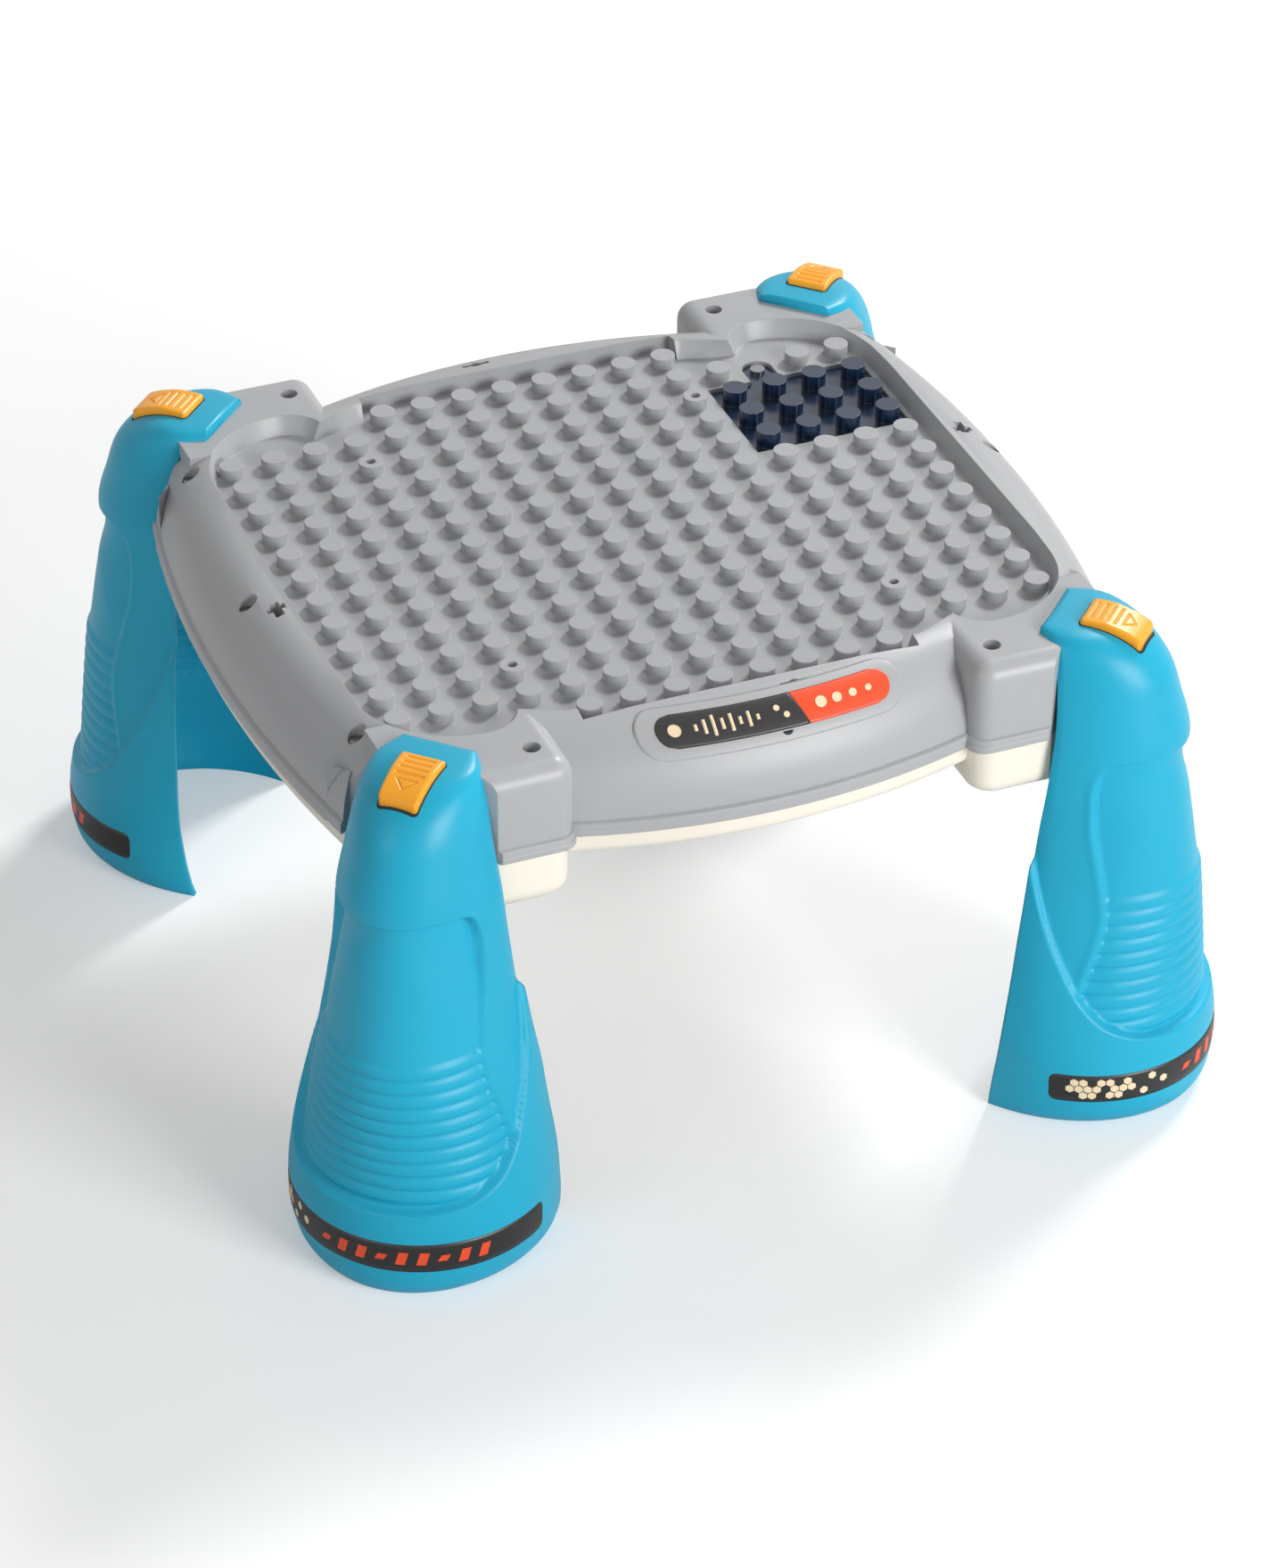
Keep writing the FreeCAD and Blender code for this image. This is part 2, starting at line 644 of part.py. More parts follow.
def leg_shell():
    wall = size("leg_wall")
    deep = size("neck_flank_depth") + 0.5
    drops = [level[0] for level in sorted(LEG_LEVELS.values())]
    outer = leg_outer()
    roof = -4.2 + wall
    inner_drops = [roof] + [d for d in drops if d > 1] + [186.0]

    def thick(drop):
        if drop < HOOD_EDGE:
            return wall, wall
        if drop <= 148:
            return wall + size("neck_nose_depth"), wall + deep
        return wall + 1.0, wall + 1.0

    hollow = leg_form(sorted(set(inner_drops)), thick)
    open_side = side_prism(INNER_EDGE + [(120.0, -8.0), (120.0, 186.0)])
    shell = outer.cut([hollow, open_side])
    shelf_top = TOP - size("tongue_bottom_drop") - size("leg_gap")
    inside = leg_form([45.0, 62.0], wall + deep - 1.0)
    shelf = block((178, -60, shelf_top - size("shelf_thickness")), (214, 60, shelf_top)).common(inside)
    shell = shell.multiFuse([shelf] + [one.common(outer) for one in carrier_bosses()])
    groove = band_form(size("band_thickness"), 0.0)
    tools = [button_slot(), groove, table_clearance()]
    for x, y in CARRIER_SCREWS:
        tools.append(rod(x, y, TOP - 20, TOP, size("screw_shank_diameter") - 0.35))
    return shell.cut(tools).removeSplitter()


def table_clearance():
    """Room for the table's lobes and rim beside the leg's edges."""
    gap = size("leg_gap")
    reach = size("chamfer_reach") + gap
    return block((120, -80, TOP - size("lobe_drop") - gap), (reach, 80, RIM + 0.3))


def band_form(thickness, sink):
    """Strip let into the skirt, from one flank round the nose to the other."""
    middle = size("band_centre_drop")
    low = middle + size("band_height") / 2
    high = middle - size("band_height") / 2
    drops = [high, 168.0, low]
    ring = leg_form(drops, sink).cut(leg_form([high - 1, 168.0, low + 1], thickness))
    return ring.common(block((182, -60, TOP - low - 1), (240, 60, TOP - high + 1)))


def button_profile(points, half):
    """Side outline of the button's cap: a curved crest over a straight underside."""
    crest = Part.BSplineCurve()
    crest.interpolate([Vector(x, -half, TOP - drop) for x, drop in points])
    start = crest.StartPoint
    finish = crest.EndPoint
    fall = math.tan(math.radians(size("button_tilt")))
    foot = start + Vector(0, 0, -BUTTON_DEEP)
    toe = foot + Vector(finish.x - start.x - 1, 0, -fall * (finish.x - start.x - 1))
    lines = [Part.makeLine(finish, toe), Part.makeLine(toe, foot), Part.makeLine(foot, start)]
    face = Part.Face(Part.Wire([crest.toShape()] + lines))
    return face.extrude(Vector(0, 2 * half, 0))


BUTTON_DEEP = 4.2
BUTTON_CREST = [(0.0, -6.2), (1.8, -7.4), (9.0, -7.5), (17.0, -5.6), (24.0, -1.4), (28.8, 4.6)]
TOOTH = size("button_start") + 6


def button_slot():
    """Slot in the hood for the button and its travel, running down along its tilt."""
    gap = size("button_gap")
    half = size("button_width") / 2 + gap
    long = BUTTON_CREST[-1][0] + size("button_travel") + gap + 0.6
    slot = block((-gap, -half, -BUTTON_DEEP - 1.6), (long, half, 14))
    slot.rotate(Vector(0, 0, 0), Vector(0, 1, 0), size("button_tilt"))
    slot.translate(Vector(size("button_start"), 0, TOP - BUTTON_CREST[0][1]))
    return slot


def button():
    start = size("button_start")
    cap = button_profile([(start + x, drop) for x, drop in BUTTON_CREST], size("button_width") / 2)
    sides = [e for e in cap.Edges if e.BoundBox.XLength > 20 and e.CenterOfMass.z > TOP + 2]
    cap = cap.makeFillet(1.2, sides)
    return cap.fuse(catch()).removeSplitter()


def catch():
    """Tooth under the button, through the carrier's slot and against the spring."""
    half = size("latch_width") / 2
    low = TOP - size("latch_drop")
    return block((TOOTH - size("latch_length") / 2, -half, low),
                 (TOOTH + size("latch_length") / 2, half, TOP + 3.5))


def carrier():
    """Plate under the hood's roof that guides the button and holds its spring."""
    low = TOP - size("carrier_drop") - size("carrier_thickness")
    start = size("chamfer_reach") + 2.5
    plate = block((start, -13, low), (start + 26, 13, low + size("carrier_thickness")))
    half = size("latch_width") / 2 + size("button_gap")
    reach = size("latch_length") / 2 + size("button_gap")
    slot = block((TOOTH - reach, -half, low - 1), (TOOTH + reach + size("button_travel"), half, TOP))
    holes = [rod(x, y, low - 1, TOP, size("screw_shank_diameter") + 0.3) for x, y in CARRIER_SCREWS]
    stop = block((start + 23.5, -4, low + size("carrier_thickness")), (start + 26, 4, low + 3.5))
    inside = leg_form([4.0, 12.0], size("leg_wall") + size("leg_gap"))
    return plate.fuse(stop).common(inside).cut([slot] + holes).removeSplitter()


CARRIER_SCREWS = [(size("chamfer_reach") + 6.5, 10.0), (size("chamfer_reach") + 6.5, -10.0)]


def carrier_bosses():
    """Bosses under the hood's roof for the carrier's two screws."""
    low = TOP - size("carrier_drop")
    bosses = []
    for x, y in CARRIER_SCREWS:
        bosses.append(rod(x, y, low, TOP + 3.2, size("screw_shank_diameter") + 2.6))
    return bosses


def leg_screws():
    low = TOP - size("carrier_drop") - size("carrier_thickness")
    shapes = []
    for x, y in CARRIER_SCREWS:
        shank = rod(x, y, low, low + 8, size("screw_shank_diameter") - 0.4)
        shapes.append(shank.fuse(rod(x, y, low - 0.9, low, size("screw_head_diameter") - 0.6)))
    return Part.makeCompound(shapes)


def leg_spring():
    """Steel leaf between the button's tooth and the carrier's stop."""
    low = TOP - size("carrier_drop") + 0.3
    thick = size("spring_thickness")
    start = TOOTH + size("latch_length") / 2 + 0.1
    finish = size("chamfer_reach") + 2.5 + 23.5 - 0.1
    bend = (start + finish) / 2
    points = [(start, -2.6), (bend, 0.8), (finish, -2.6)]
    outer = Part.Wire([Part.Arc(*[Vector(x, y + thick / 2, low) for x, y in points]).toShape()])
    inner = Part.Wire([Part.Arc(*[Vector(x, y - thick / 2, low) for x, y in points]).toShape()])
    ends = [Part.makeLine(outer.Vertexes[k].Point, inner.Vertexes[k].Point) for k in (0, -1)]
    face = Part.Face(Part.Wire(Part.__sortEdges__(outer.Edges + inner.Edges + ends)))
    return face.extrude(Vector(0, 0, 1.9))


# Screws of the table

def screw(x, y, head_low, head_high, foot, head, shank):
    return rod(x, y, head_low, head_high, head).fuse(rod(x, y, foot, head_low, shank))


def rim_screws():
    seat = RIM - size("screw_sink")
    foot = SEAM - size("screw_grip")
    head = size("screw_head_diameter")
    shank = size("screw_shank_diameter")
    return Part.makeCompound([screw(x, y, seat, seat + 2.2, foot, head, shank)
                              for x, y in rim_screw_places()])


def stud_screws():
    seat = TOP - STUD_SCREW_SINK
    foot = SEAM - size("screw_grip")
    head = size("stud_screw_head")
    shank = size("stud_screw_diameter")
    return Part.makeCompound([screw(x, y, seat, seat + 1.6, foot, head, shank)
                              for x, y in stud_screw_places()])


# Pieces drawn as sketches: the sheet drives their outlines, depths and heights

def bound(item, setting, expression):
    item.setExpression(setting, expression)


def body(label):
    item = doc.addObject("PartDesign::Body", label)
    item.Label = label
    return item


def sketch(owner, name, height):
    """Sketch on the body's level plane, lifted to a height given as an expression."""
    item = owner.newObject("Sketcher::SketchObject", name)
    plane = [f for f in owner.Origin.OriginFeatures if f.Role == "XY_Plane"][0]
    item.AttachmentSupport = [(plane, "")]
    item.MapMode = "FlatFace"
    bound(item, "AttachmentOffset.Base.z", height)
    return item


def rectangle(owner, low_x, low_y, high_x, high_y):
    """Four lines of a sketch, each side tied to an expression."""
    import Sketcher
    corners = [(0, 0), (10, 0), (10, 10), (0, 10)]
    first = owner.GeometryCount
    for start, finish in zip(corners, corners[1:] + corners[:1]):
        owner.addGeometry(Part.LineSegment(Vector(*start, 0), Vector(*finish, 0)), False)
    for number in range(4):
        following = first + (number + 1) % 4
        owner.addConstraint(Sketcher.Constraint("Coincident", first + number, 2, following, 1))
    for number, kind in enumerate(("Horizontal", "Vertical", "Horizontal", "Vertical")):
        owner.addConstraint(Sketcher.Constraint(kind, first + number))
    for kind, line, point, expression in (("DistanceX", first, 1, low_x), ("DistanceY", first, 1, low_y),
                                          ("DistanceX", first + 2, 1, high_x),
                                          ("DistanceY", first + 2, 1, high_y)):
        index = owner.addConstraint(Sketcher.Constraint(kind, -1, 1, line, point, 5.0))
        bound(owner, "Constraints[%d]" % index, expression)


def circle(owner, x, y, diameter):
    """Circle of a sketch with its diameter tied to an expression."""
    import Sketcher
    number = owner.addGeometry(Part.Circle(Vector(x, y, 0), UP, 2.0), False)
    index = owner.addConstraint(Sketcher.Constraint("Diameter", number, 4.0))
    bound(owner, "Constraints[%d]" % index, diameter)
    owner.addConstraint(Sketcher.Constraint("DistanceX", -1, 1, number, 3, x))
    owner.addConstraint(Sketcher.Constraint("DistanceY", -1, 1, number, 3, y))


def pad(owner, outline, length, down=False):
    item = owner.newObject("PartDesign::Pad", outline.Name + "_pad")
    item.Profile = outline
    item.Reversed = down
    bound(item, "Length", length)
    return item


def pocket(owner, outline, length):
    """Cut from a sketch on an upper face down to a depth."""
    item = owner.newObject("PartDesign::Pocket", outline.Name + "_pocket")
    item.Profile = outline
    bound(item, "Length", length)
    return item


D = "Dimensions."
COVER_TOP_AT = D + "stud_top_height - " + D + "stud_height - " + D + "cover_drop"
COVER_LOW_AT = COVER_TOP_AT + " - " + D + "cover_thickness"
BOX_TOP_AT = COVER_LOW_AT + " - " + D + "ledge_thickness"
BELLY_IN_AT = D + "stud_top_height - " + D + "belly_drop + " + D + "shell_wall"


def battery_cover():
    """Plate with its own studs and a screw tab at the back."""
    item = body("battery_cover")
    plate = sketch(item, "cover_plate", COVER_LOW_AT)
    rectangle(plate, D + "cover_low_x", D + "cover_low_y", D + "cover_high_x", D + "cover_high_y")
    pad(item, plate, D + "cover_thickness")
    tab = sketch(item, "cover_tab", COVER_LOW_AT)
    half = "%s * %spitch - %stab_width / 2" % ("5.5", D + "stud_", D)
    other = "%s * %spitch + %stab_width / 2" % ("5.5", D + "stud_", D)
    rectangle(tab, half, D + "cover_high_y - 1 ", other,
              D + "cover_high_y + " + D + "tab_length - " + D + "tab_width / 2")
    pad(item, tab, D + "cover_thickness")
    nose = sketch(item, "cover_nose", COVER_LOW_AT)
    circle(nose, TAB_X, TAB_Y, D + "tab_width")
    pad(item, nose, D + "cover_thickness")
    studs = sketch(item, "cover_studs", COVER_TOP_AT)
    for x, y in stud_places()[1]:
        circle(studs, x, y, D + "stud_diameter")
    pad(item, studs, D + "stud_height + " + D + "cover_drop")
    doc.recompute()
    hole = sketch(item, "cover_hole", COVER_TOP_AT)
    circle(hole, TAB_X, TAB_Y, D + "screw_shank_diameter + 0.3")
    pocket(item, hole, D + "cover_thickness")
    return item


def battery_box():
    """Open tray under the cover's ledge."""
    item = body("battery_box")
    outer = sketch(item, "box_outer", BOX_TOP_AT)
    ledge = D + "cover_ledge"
    wall = D + "box_wall"
    rectangle(outer, D + "cover_low_x + " + ledge + " - " + wall, D + "cover_low_y + " + ledge + " - " + wall,
              D + "cover_high_x - " + ledge + " + " + wall, D + "cover_high_y - " + ledge + " + " + wall)
    pad(item, outer, D + "cell_diameter + 2 * " + D + "cell_gap + " + wall, True)
    doc.recompute()
    inner = sketch(item, "box_inner", BOX_TOP_AT)
    rectangle(inner, D + "cover_low_x + " + ledge, D + "cover_low_y + " + ledge,
              D + "cover_high_x - " + ledge, D + "cover_high_y - " + ledge)
    pocket(item, inner, D + "cell_diameter + 2 * " + D + "cell_gap")
    return item


def circuit_board():
    """Board over the keys, on the bottom shell's standoffs."""
    item = body("circuit_board")
    outline = sketch(item, "board_outline", BELLY_IN_AT + " + " + D + "standoff_height")
    half = "(%skey_count * %skey_pitch) / 2" % (D, D)
    reach = "(%skey_length / 2 + 7)" % D
    rectangle(outline, "-" + half, "%s - %s" % (KEYS_Y, reach), half, "%s + %s" % (KEYS_Y, reach))
    pad(item, outline, D + "board_thickness")
    return item


def contact_mat():
    """Soft mat under the board that pushes the keys back."""
    item = body("contact_mat")
    outline = sketch(item, "mat_outline", BELLY_IN_AT + " + " + D + "standoff_height")
    half = "(%skey_count * %skey_pitch) / 2 - 4" % (D, D)
    reach = "(%skey_length / 2 - 4)" % D
    rectangle(outline, "-(" + half + ")", "%s - %s" % (KEYS_Y, reach), half, "%s + %s" % (KEYS_Y, reach))
    pad(item, outline, D + "standoff_height - " + D + "key_flange - " + D + "key_travel - 0.5", True)
    return item


def key(number):
    """Piano key: a cap through the bottom shell and a flange inside it."""
    item = body("key_%d" % (number + 1))
    middle = "((%d - (%skey_count - 1) / 2) * %skey_pitch)" % (number, D, D)
    half = "((%skey_pitch - 1) / 2 - %skey_gap)" % (D, D)
    reach = "(%skey_length / 2)" % D
    cap = sketch(item, "cap_%d" % (number + 1),
                 "%sstud_top_height - %sbelly_drop - %skey_proud" % (D, D, D))
    rectangle(cap, middle + " - " + half, "%s - %s" % (KEYS_Y, reach),
              middle + " + " + half, "%s + %s" % (KEYS_Y, reach))
    pad(item, cap, D + "key_proud + " + D + "shell_wall")
    flange = sketch(item, "flange_%d" % (number + 1), BELLY_IN_AT)
    grow = D + "key_gap + 0.25"
    tall = D + "key_gap + 1.5"
    rectangle(flange, "%s - %s - %s" % (middle, half, grow), "%s - %s - %s" % (KEYS_Y, reach, tall),
              "%s + %s + %s" % (middle, half, grow), "%s + %s + %s" % (KEYS_Y, reach, tall))
    pad(item, flange, D + "key_flange")
    return item


def power_knob():
    """Sliding switch knob: cap outside, neck through the slot, flange inside."""
    item = body("power_knob")
    middle = KNOB_X - size("knob_travel") / 2
    neck = sketch(item, "knob_neck", "%sstud_top_height - %sbelly_drop - 0.3" % (D, D))
    rectangle(neck, "%s - 2" % middle, "%s - 1.3" % KNOB_Y, "%s + 2" % middle, "%s + 1.3" % KNOB_Y)
    pad(item, neck, D + "shell_wall + 0.6")
    cap = sketch(item, "knob_cap", "%sstud_top_height - %sbelly_drop - 0.3" % (D, D))
    rectangle(cap, "%s - 5" % middle, "%s - 3.5" % KNOB_Y, "%s + 5" % middle, "%s + 3.5" % KNOB_Y)
    pad(item, cap, D + "key_proud", True)
    flange = sketch(item, "knob_flange", BELLY_IN_AT + " + 0.3")
    rectangle(flange, "%s - 6" % middle, "%s - 4" % KNOB_Y, "%s + 6" % middle, "%s + 4" % KNOB_Y)
    pad(item, flange, D + "key_flange")
    return item


def power_switch():
    """Switch over the knob, its case held above the flange."""
    item = body("power_switch")
    case = sketch(item, "switch_case", BELLY_IN_AT + " + 0.6 + " + D + "key_flange")
    rectangle(case, "%s - 10" % KNOB_X, "%s - 4" % KNOB_Y, "%s + 10" % KNOB_X, "%s + 4" % KNOB_Y)
    pad(item, case, D + "standoff_height")
    return item


def cylinder(name, radius, height, place):
    """Primitive cylinder with its radius and height tied to expressions."""
    item = doc.addObject("Part::Cylinder", name)
    bound(item, "Radius", radius)
    bound(item, "Height", height)
    for axis, expression in zip("xyz", place):
        bound(item, "Placement.Base." + axis, expression)
    return item


def speaker():
    """Speaker: a frame, its cone's rim and the magnet behind."""
    place = (str(SPEAKER_X), str(SPEAKER_Y))
    radius = D + "speaker_diameter / 2"
    rim = cylinder("speaker_rim", radius, D + "speaker_depth / 5", place + (BELLY_IN_AT,))
    frame = doc.addObject("Part::Cone", "speaker_frame")
    bound(frame, "Radius1", radius + " * 0.94")
    bound(frame, "Radius2", radius + " * 0.55")
    bound(frame, "Height", D + "speaker_depth * 0.5")
    magnet = cylinder("speaker_magnet", radius + " * 0.5", D + "speaker_depth * 0.35",
                      place + (BELLY_IN_AT + " + " + D + "speaker_depth * 0.65",))
    for axis, expression in zip("xyz", place + (BELLY_IN_AT + " + " + D + "speaker_depth * 0.18",)):
        bound(frame, "Placement.Base." + axis, expression)
    item = doc.addObject("Part::MultiFuse", "speaker")
    item.Shapes = [rim, frame, magnet]
    item.Label = "speaker"
    return item


BOX_TOP = COVER_BOTTOM - size("ledge_thickness")
CELL_Z = BOX_TOP - size("cell_gap") - size("cell_diameter") / 2
CELL_X = (size("cover_low_x") + size("cover_high_x") - size("cell_length")) / 2
CELL_Y = (size("cover_low_y") + size("cover_high_y")) / 2


def cell_rows():
    """Middle of each cell across the box, and whether it lies reversed."""
    count = int(size("cell_count"))
    return [(CELL_Y + (n - (count - 1) / 2) * size("cell_spacing"), n % 2 == 1) for n in range(count)]


def lying_rod(x, y, length, diameter):
    return Part.makeCylinder(diameter / 2, length, Vector(x, y, CELL_Z), Vector(1, 0, 0))


def battery_cells():
    shapes = []
    nib = 1.2
    for y, reversed_cell in cell_rows():
        can = lying_rod(CELL_X, y, size("cell_length") - nib, size("cell_diameter"))
        tip = lying_rod(CELL_X + size("cell_length") - nib, y, nib, 5.5)
        cell = can.fuse(tip)
        if reversed_cell:
            middle = Vector(CELL_X + size("cell_length") / 2, y, CELL_Z)
            cell = cell.mirror(middle, Vector(1, 0, 0))
        shapes.append(cell)
    return Part.makeCompound(shapes)


def battery_contacts():
    """Metal contacts on the box's end walls: a plate and a sprung cone at each cell end."""
    shapes = []
    low = size("cover_low_x") + size("cover_ledge")
    high = size("cover_high_x") - size("cover_ledge")
    for y, reversed_cell in cell_rows():
        for wall, direction, cell_end in ((low, 1, CELL_X), (high, -1, CELL_X + size("cell_length"))):
            plate = Part.makeBox(0.4, 10, 10, Vector(min(wall, wall + 0.4 * direction), y - 5, CELL_Z - 5))
            start = wall + 0.4 * direction
            cone = Part.makeCone(4.0, 2.2, abs(cell_end - start), Vector(start, y, CELL_Z),
                                 Vector(direction, 0, 0))
            shapes.append(plate.fuse(cone))
    return Part.makeCompound(shapes)


# Sub-parts

parts = {}
parts["top_shell"] = feature("top_shell", top_shell())
parts["bottom_shell"] = feature("bottom_shell", bottom_shell())
parts["front_badge"] = feature("front_badge", badge_slope(size("badge_thickness") * 0.7, 0.0,
                                                          -size("badge_thickness")))
parts["rim_screws"] = feature("rim_screws", rim_screws())
parts["stud_screws"] = feature("stud_screws", stud_screws())
parts["battery_cells"] = feature("battery_cells", battery_cells())
parts["battery_contacts"] = feature("battery_contacts", battery_contacts())
parts["cover_screw"] = feature("cover_screw", screw(TAB_X, TAB_Y, COVER_TOP, COVER_TOP + 1.8,
                                                    BOX_TOP - 4, size("screw_head_diameter"),
                                                    size("screw_shank_diameter")))
for make in (battery_cover, battery_box, circuit_board, contact_mat, power_knob, power_switch, speaker):
    item = make()
    parts[item.Label] = item
for number in range(int(size("key_count"))):
    item = key(number)
    parts[item.Label] = item

LEG_PIECES = {
    "leg_shell": leg_shell(),
    "leg_band": band_form(size("band_thickness"), size("band_sink")),
    "leg_button": button(),
    "leg_carrier": carrier(),
    "leg_spring": leg_spring(),
    "leg_screws": leg_screws(),
}
for corner, angle in CORNERS.items():
    turn = Placement(Vector(0, 0, 0), Rotation(UP, angle))
    for piece, shape in LEG_PIECES.items():
        name = piece + "_" + corner
        parts[name] = feature(name, shape)
        parts[name].Placement = turn.multiply(shape.Placement)

doc.recompute()
faults = []
for item in doc.Objects:
    if "Invalid" in item.State or "Error" in item.State:
        faults.append(item.Name + " failed")
for name, item in parts.items():
    if item.Shape.isNull() or not item.Shape.isValid():
        faults.append(name + " has no valid shape")
if faults:
    raise RuntimeError("; ".join(faults))

os.makedirs("parts", exist_ok=True)
for name, item in parts.items():
    print(name, len(item.Shape.Solids), round(item.Shape.Volume))
    item.Shape.exportStep("parts/" + name + ".step")
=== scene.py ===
import json
import math

import bmesh
import bpy
import numpy as np
from mathutils import Euler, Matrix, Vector


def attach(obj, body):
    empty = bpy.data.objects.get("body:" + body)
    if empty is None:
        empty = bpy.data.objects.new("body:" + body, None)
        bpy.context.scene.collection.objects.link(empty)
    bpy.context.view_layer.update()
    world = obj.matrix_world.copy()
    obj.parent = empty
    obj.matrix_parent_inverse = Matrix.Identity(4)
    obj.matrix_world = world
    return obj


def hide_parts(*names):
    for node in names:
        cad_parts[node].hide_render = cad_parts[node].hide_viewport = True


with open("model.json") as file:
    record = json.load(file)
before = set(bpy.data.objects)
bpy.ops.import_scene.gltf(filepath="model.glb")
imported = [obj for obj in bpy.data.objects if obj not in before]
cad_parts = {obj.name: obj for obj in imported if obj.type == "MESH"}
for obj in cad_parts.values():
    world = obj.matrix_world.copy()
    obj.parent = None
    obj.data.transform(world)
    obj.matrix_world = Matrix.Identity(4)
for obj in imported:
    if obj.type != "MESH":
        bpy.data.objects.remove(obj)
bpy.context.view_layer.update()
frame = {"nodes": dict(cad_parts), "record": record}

# Sizes are in millimetres, as on the drawing, and MM turns them into Blender's metres.
MM = 0.001
TOP = 184.6                 # height of the stud tops over the floor
CORNERS = {"back_right": 45, "back_left": 135, "front_left": 225, "front_right": 315}
CORNER_SIDES = {"back_right": (1, 1), "back_left": (-1, 1), "front_left": (-1, -1),
                "front_right": (1, -1)}


# Camera, at the photograph's place

PHOTO_WIDTH = 1440
PHOTO_HEIGHT = 1759
FOCAL_PIXELS = 6174.3
PRINCIPAL_X = 682.7
SENSOR = 36.0
CAMERA_PLACE = (-0.630756, -1.551448, 1.232599)
CAMERA_TURN = (0.963755, -0.002756, -0.380325)

camera_data = bpy.data.cameras.new("camera")
camera_data.sensor_fit = "VERTICAL"
camera_data.sensor_height = SENSOR
camera_data.lens = FOCAL_PIXELS / PHOTO_HEIGHT * SENSOR
camera_data.shift_x = (PHOTO_WIDTH / 2 - PRINCIPAL_X) / PHOTO_HEIGHT
camera_data.clip_end = 50
camera = bpy.data.objects.new("camera", camera_data)
camera.location = CAMERA_PLACE
camera.rotation_euler = Euler(CAMERA_TURN)
bpy.context.collection.objects.link(camera)
bpy.context.scene.camera = camera
bpy.context.scene.view_settings.view_transform = "Standard"


# Materials

MOTTLE_SCALE = 14.0
MOTTLE_SPREAD = 0.03        # share by which the colour wanders
GRAIN_SIZE = 1.2
GRAIN_STRENGTH = 0.05
GRAIN_DEPTH = 0.2
COAT_ROUGHNESS = 0.15
PLAIN_SHINE = 0.5
MARK_SCALE = 900.0
MARK_STRENGTH = 0.08
MARK_DEPTH = 0.1
METAL_ROUGHNESS = 0.32


def new_material(name):
    """Material with its nodes, its links and its shader."""
    material = bpy.data.materials.new(name)
    material.use_nodes = True
    nodes = material.node_tree.nodes
    links = material.node_tree.links
    return material, nodes, links, nodes["Principled BSDF"]


def plastic(name, colour, roughness, edge=0.0, coat=0.0, shine=PLAIN_SHINE):
    """Moulded plastic: faint mottling, fine spark-eroded grain and edges broken by a small radius."""
    material, nodes, links, shader = new_material(name)
    place = nodes.new("ShaderNodeTexCoord")
    cloud = nodes.new("ShaderNodeTexNoise")
    cloud.inputs["Scale"].default_value = MOTTLE_SCALE
    cloud.inputs["Detail"].default_value = 3.0
    links.new(place.outputs["Object"], cloud.inputs["Vector"])
    ramp = nodes.new("ShaderNodeValToRGB")
    ramp.color_ramp.elements[0].position = 0.3
    ramp.color_ramp.elements[1].position = 0.7
    ramp.color_ramp.elements[0].color = [c * (1 - MOTTLE_SPREAD) for c in colour] + [1]
    ramp.color_ramp.elements[1].color = [min(1, c * (1 + MOTTLE_SPREAD)) for c in colour] + [1]
    links.new(cloud.outputs["Fac"], ramp.inputs["Fac"])
    links.new(ramp.outputs["Color"], shader.inputs["Base Color"])
    fine = nodes.new("ShaderNodeTexNoise")
    fine.inputs["Scale"].default_value = 1 / (GRAIN_SIZE * MM)
    fine.inputs["Detail"].default_value = 2.0
    links.new(place.outputs["Object"], fine.inputs["Vector"])
    wear = nodes.new("ShaderNodeMapRange")
    wear.inputs["To Min"].default_value = roughness - 0.04
    wear.inputs["To Max"].default_value = roughness + 0.05
    links.new(fine.outputs["Fac"], wear.inputs["Value"])
    links.new(wear.outputs["Result"], shader.inputs["Roughness"])
    bump = nodes.new("ShaderNodeBump")
    bump.inputs["Strength"].default_value = GRAIN_STRENGTH
    bump.inputs["Distance"].default_value = GRAIN_DEPTH * MM
    links.new(fine.outputs["Fac"], bump.inputs["Height"])
    if edge:
        bevel = nodes.new("ShaderNodeBevel")
        bevel.samples = 6
        bevel.inputs["Radius"].default_value = edge * MM
        links.new(bevel.outputs["Normal"], bump.inputs["Normal"])
    links.new(bump.outputs["Normal"], shader.inputs["Normal"])
    shader.inputs["Specular IOR Level"].default_value = shine
    shader.inputs["Coat Weight"].default_value = coat
    shader.inputs["Coat Roughness"].default_value = COAT_ROUGHNESS
    return material


def metal(name, colour):
    """Plated steel with fine turning marks."""
    material, nodes, links, shader = new_material(name)
    place = nodes.new("ShaderNodeTexCoord")
    marks = nodes.new("ShaderNodeTexNoise")
    marks.inputs["Scale"].default_value = MARK_SCALE
    links.new(place.outputs["Object"], marks.inputs["Vector"])
    ramp = nodes.new("ShaderNodeValToRGB")
    ramp.color_ramp.elements[0].color = [c * 0.8 for c in colour] + [1]
    ramp.color_ramp.elements[1].color = list(colour) + [1]
    links.new(marks.outputs["Fac"], ramp.inputs["Fac"])
    links.new(ramp.outputs["Color"], shader.inputs["Base Color"])
    bump = nodes.new("ShaderNodeBump")
    bump.inputs["Strength"].default_value = MARK_STRENGTH
    bump.inputs["Distance"].default_value = MARK_DEPTH * MM
    links.new(marks.outputs["Fac"], bump.inputs["Height"])
    links.new(bump.outputs["Normal"], shader.inputs["Normal"])
    shader.inputs["Metallic"].default_value = 1.0
    shader.inputs["Roughness"].default_value = METAL_ROUGHNESS
    return material


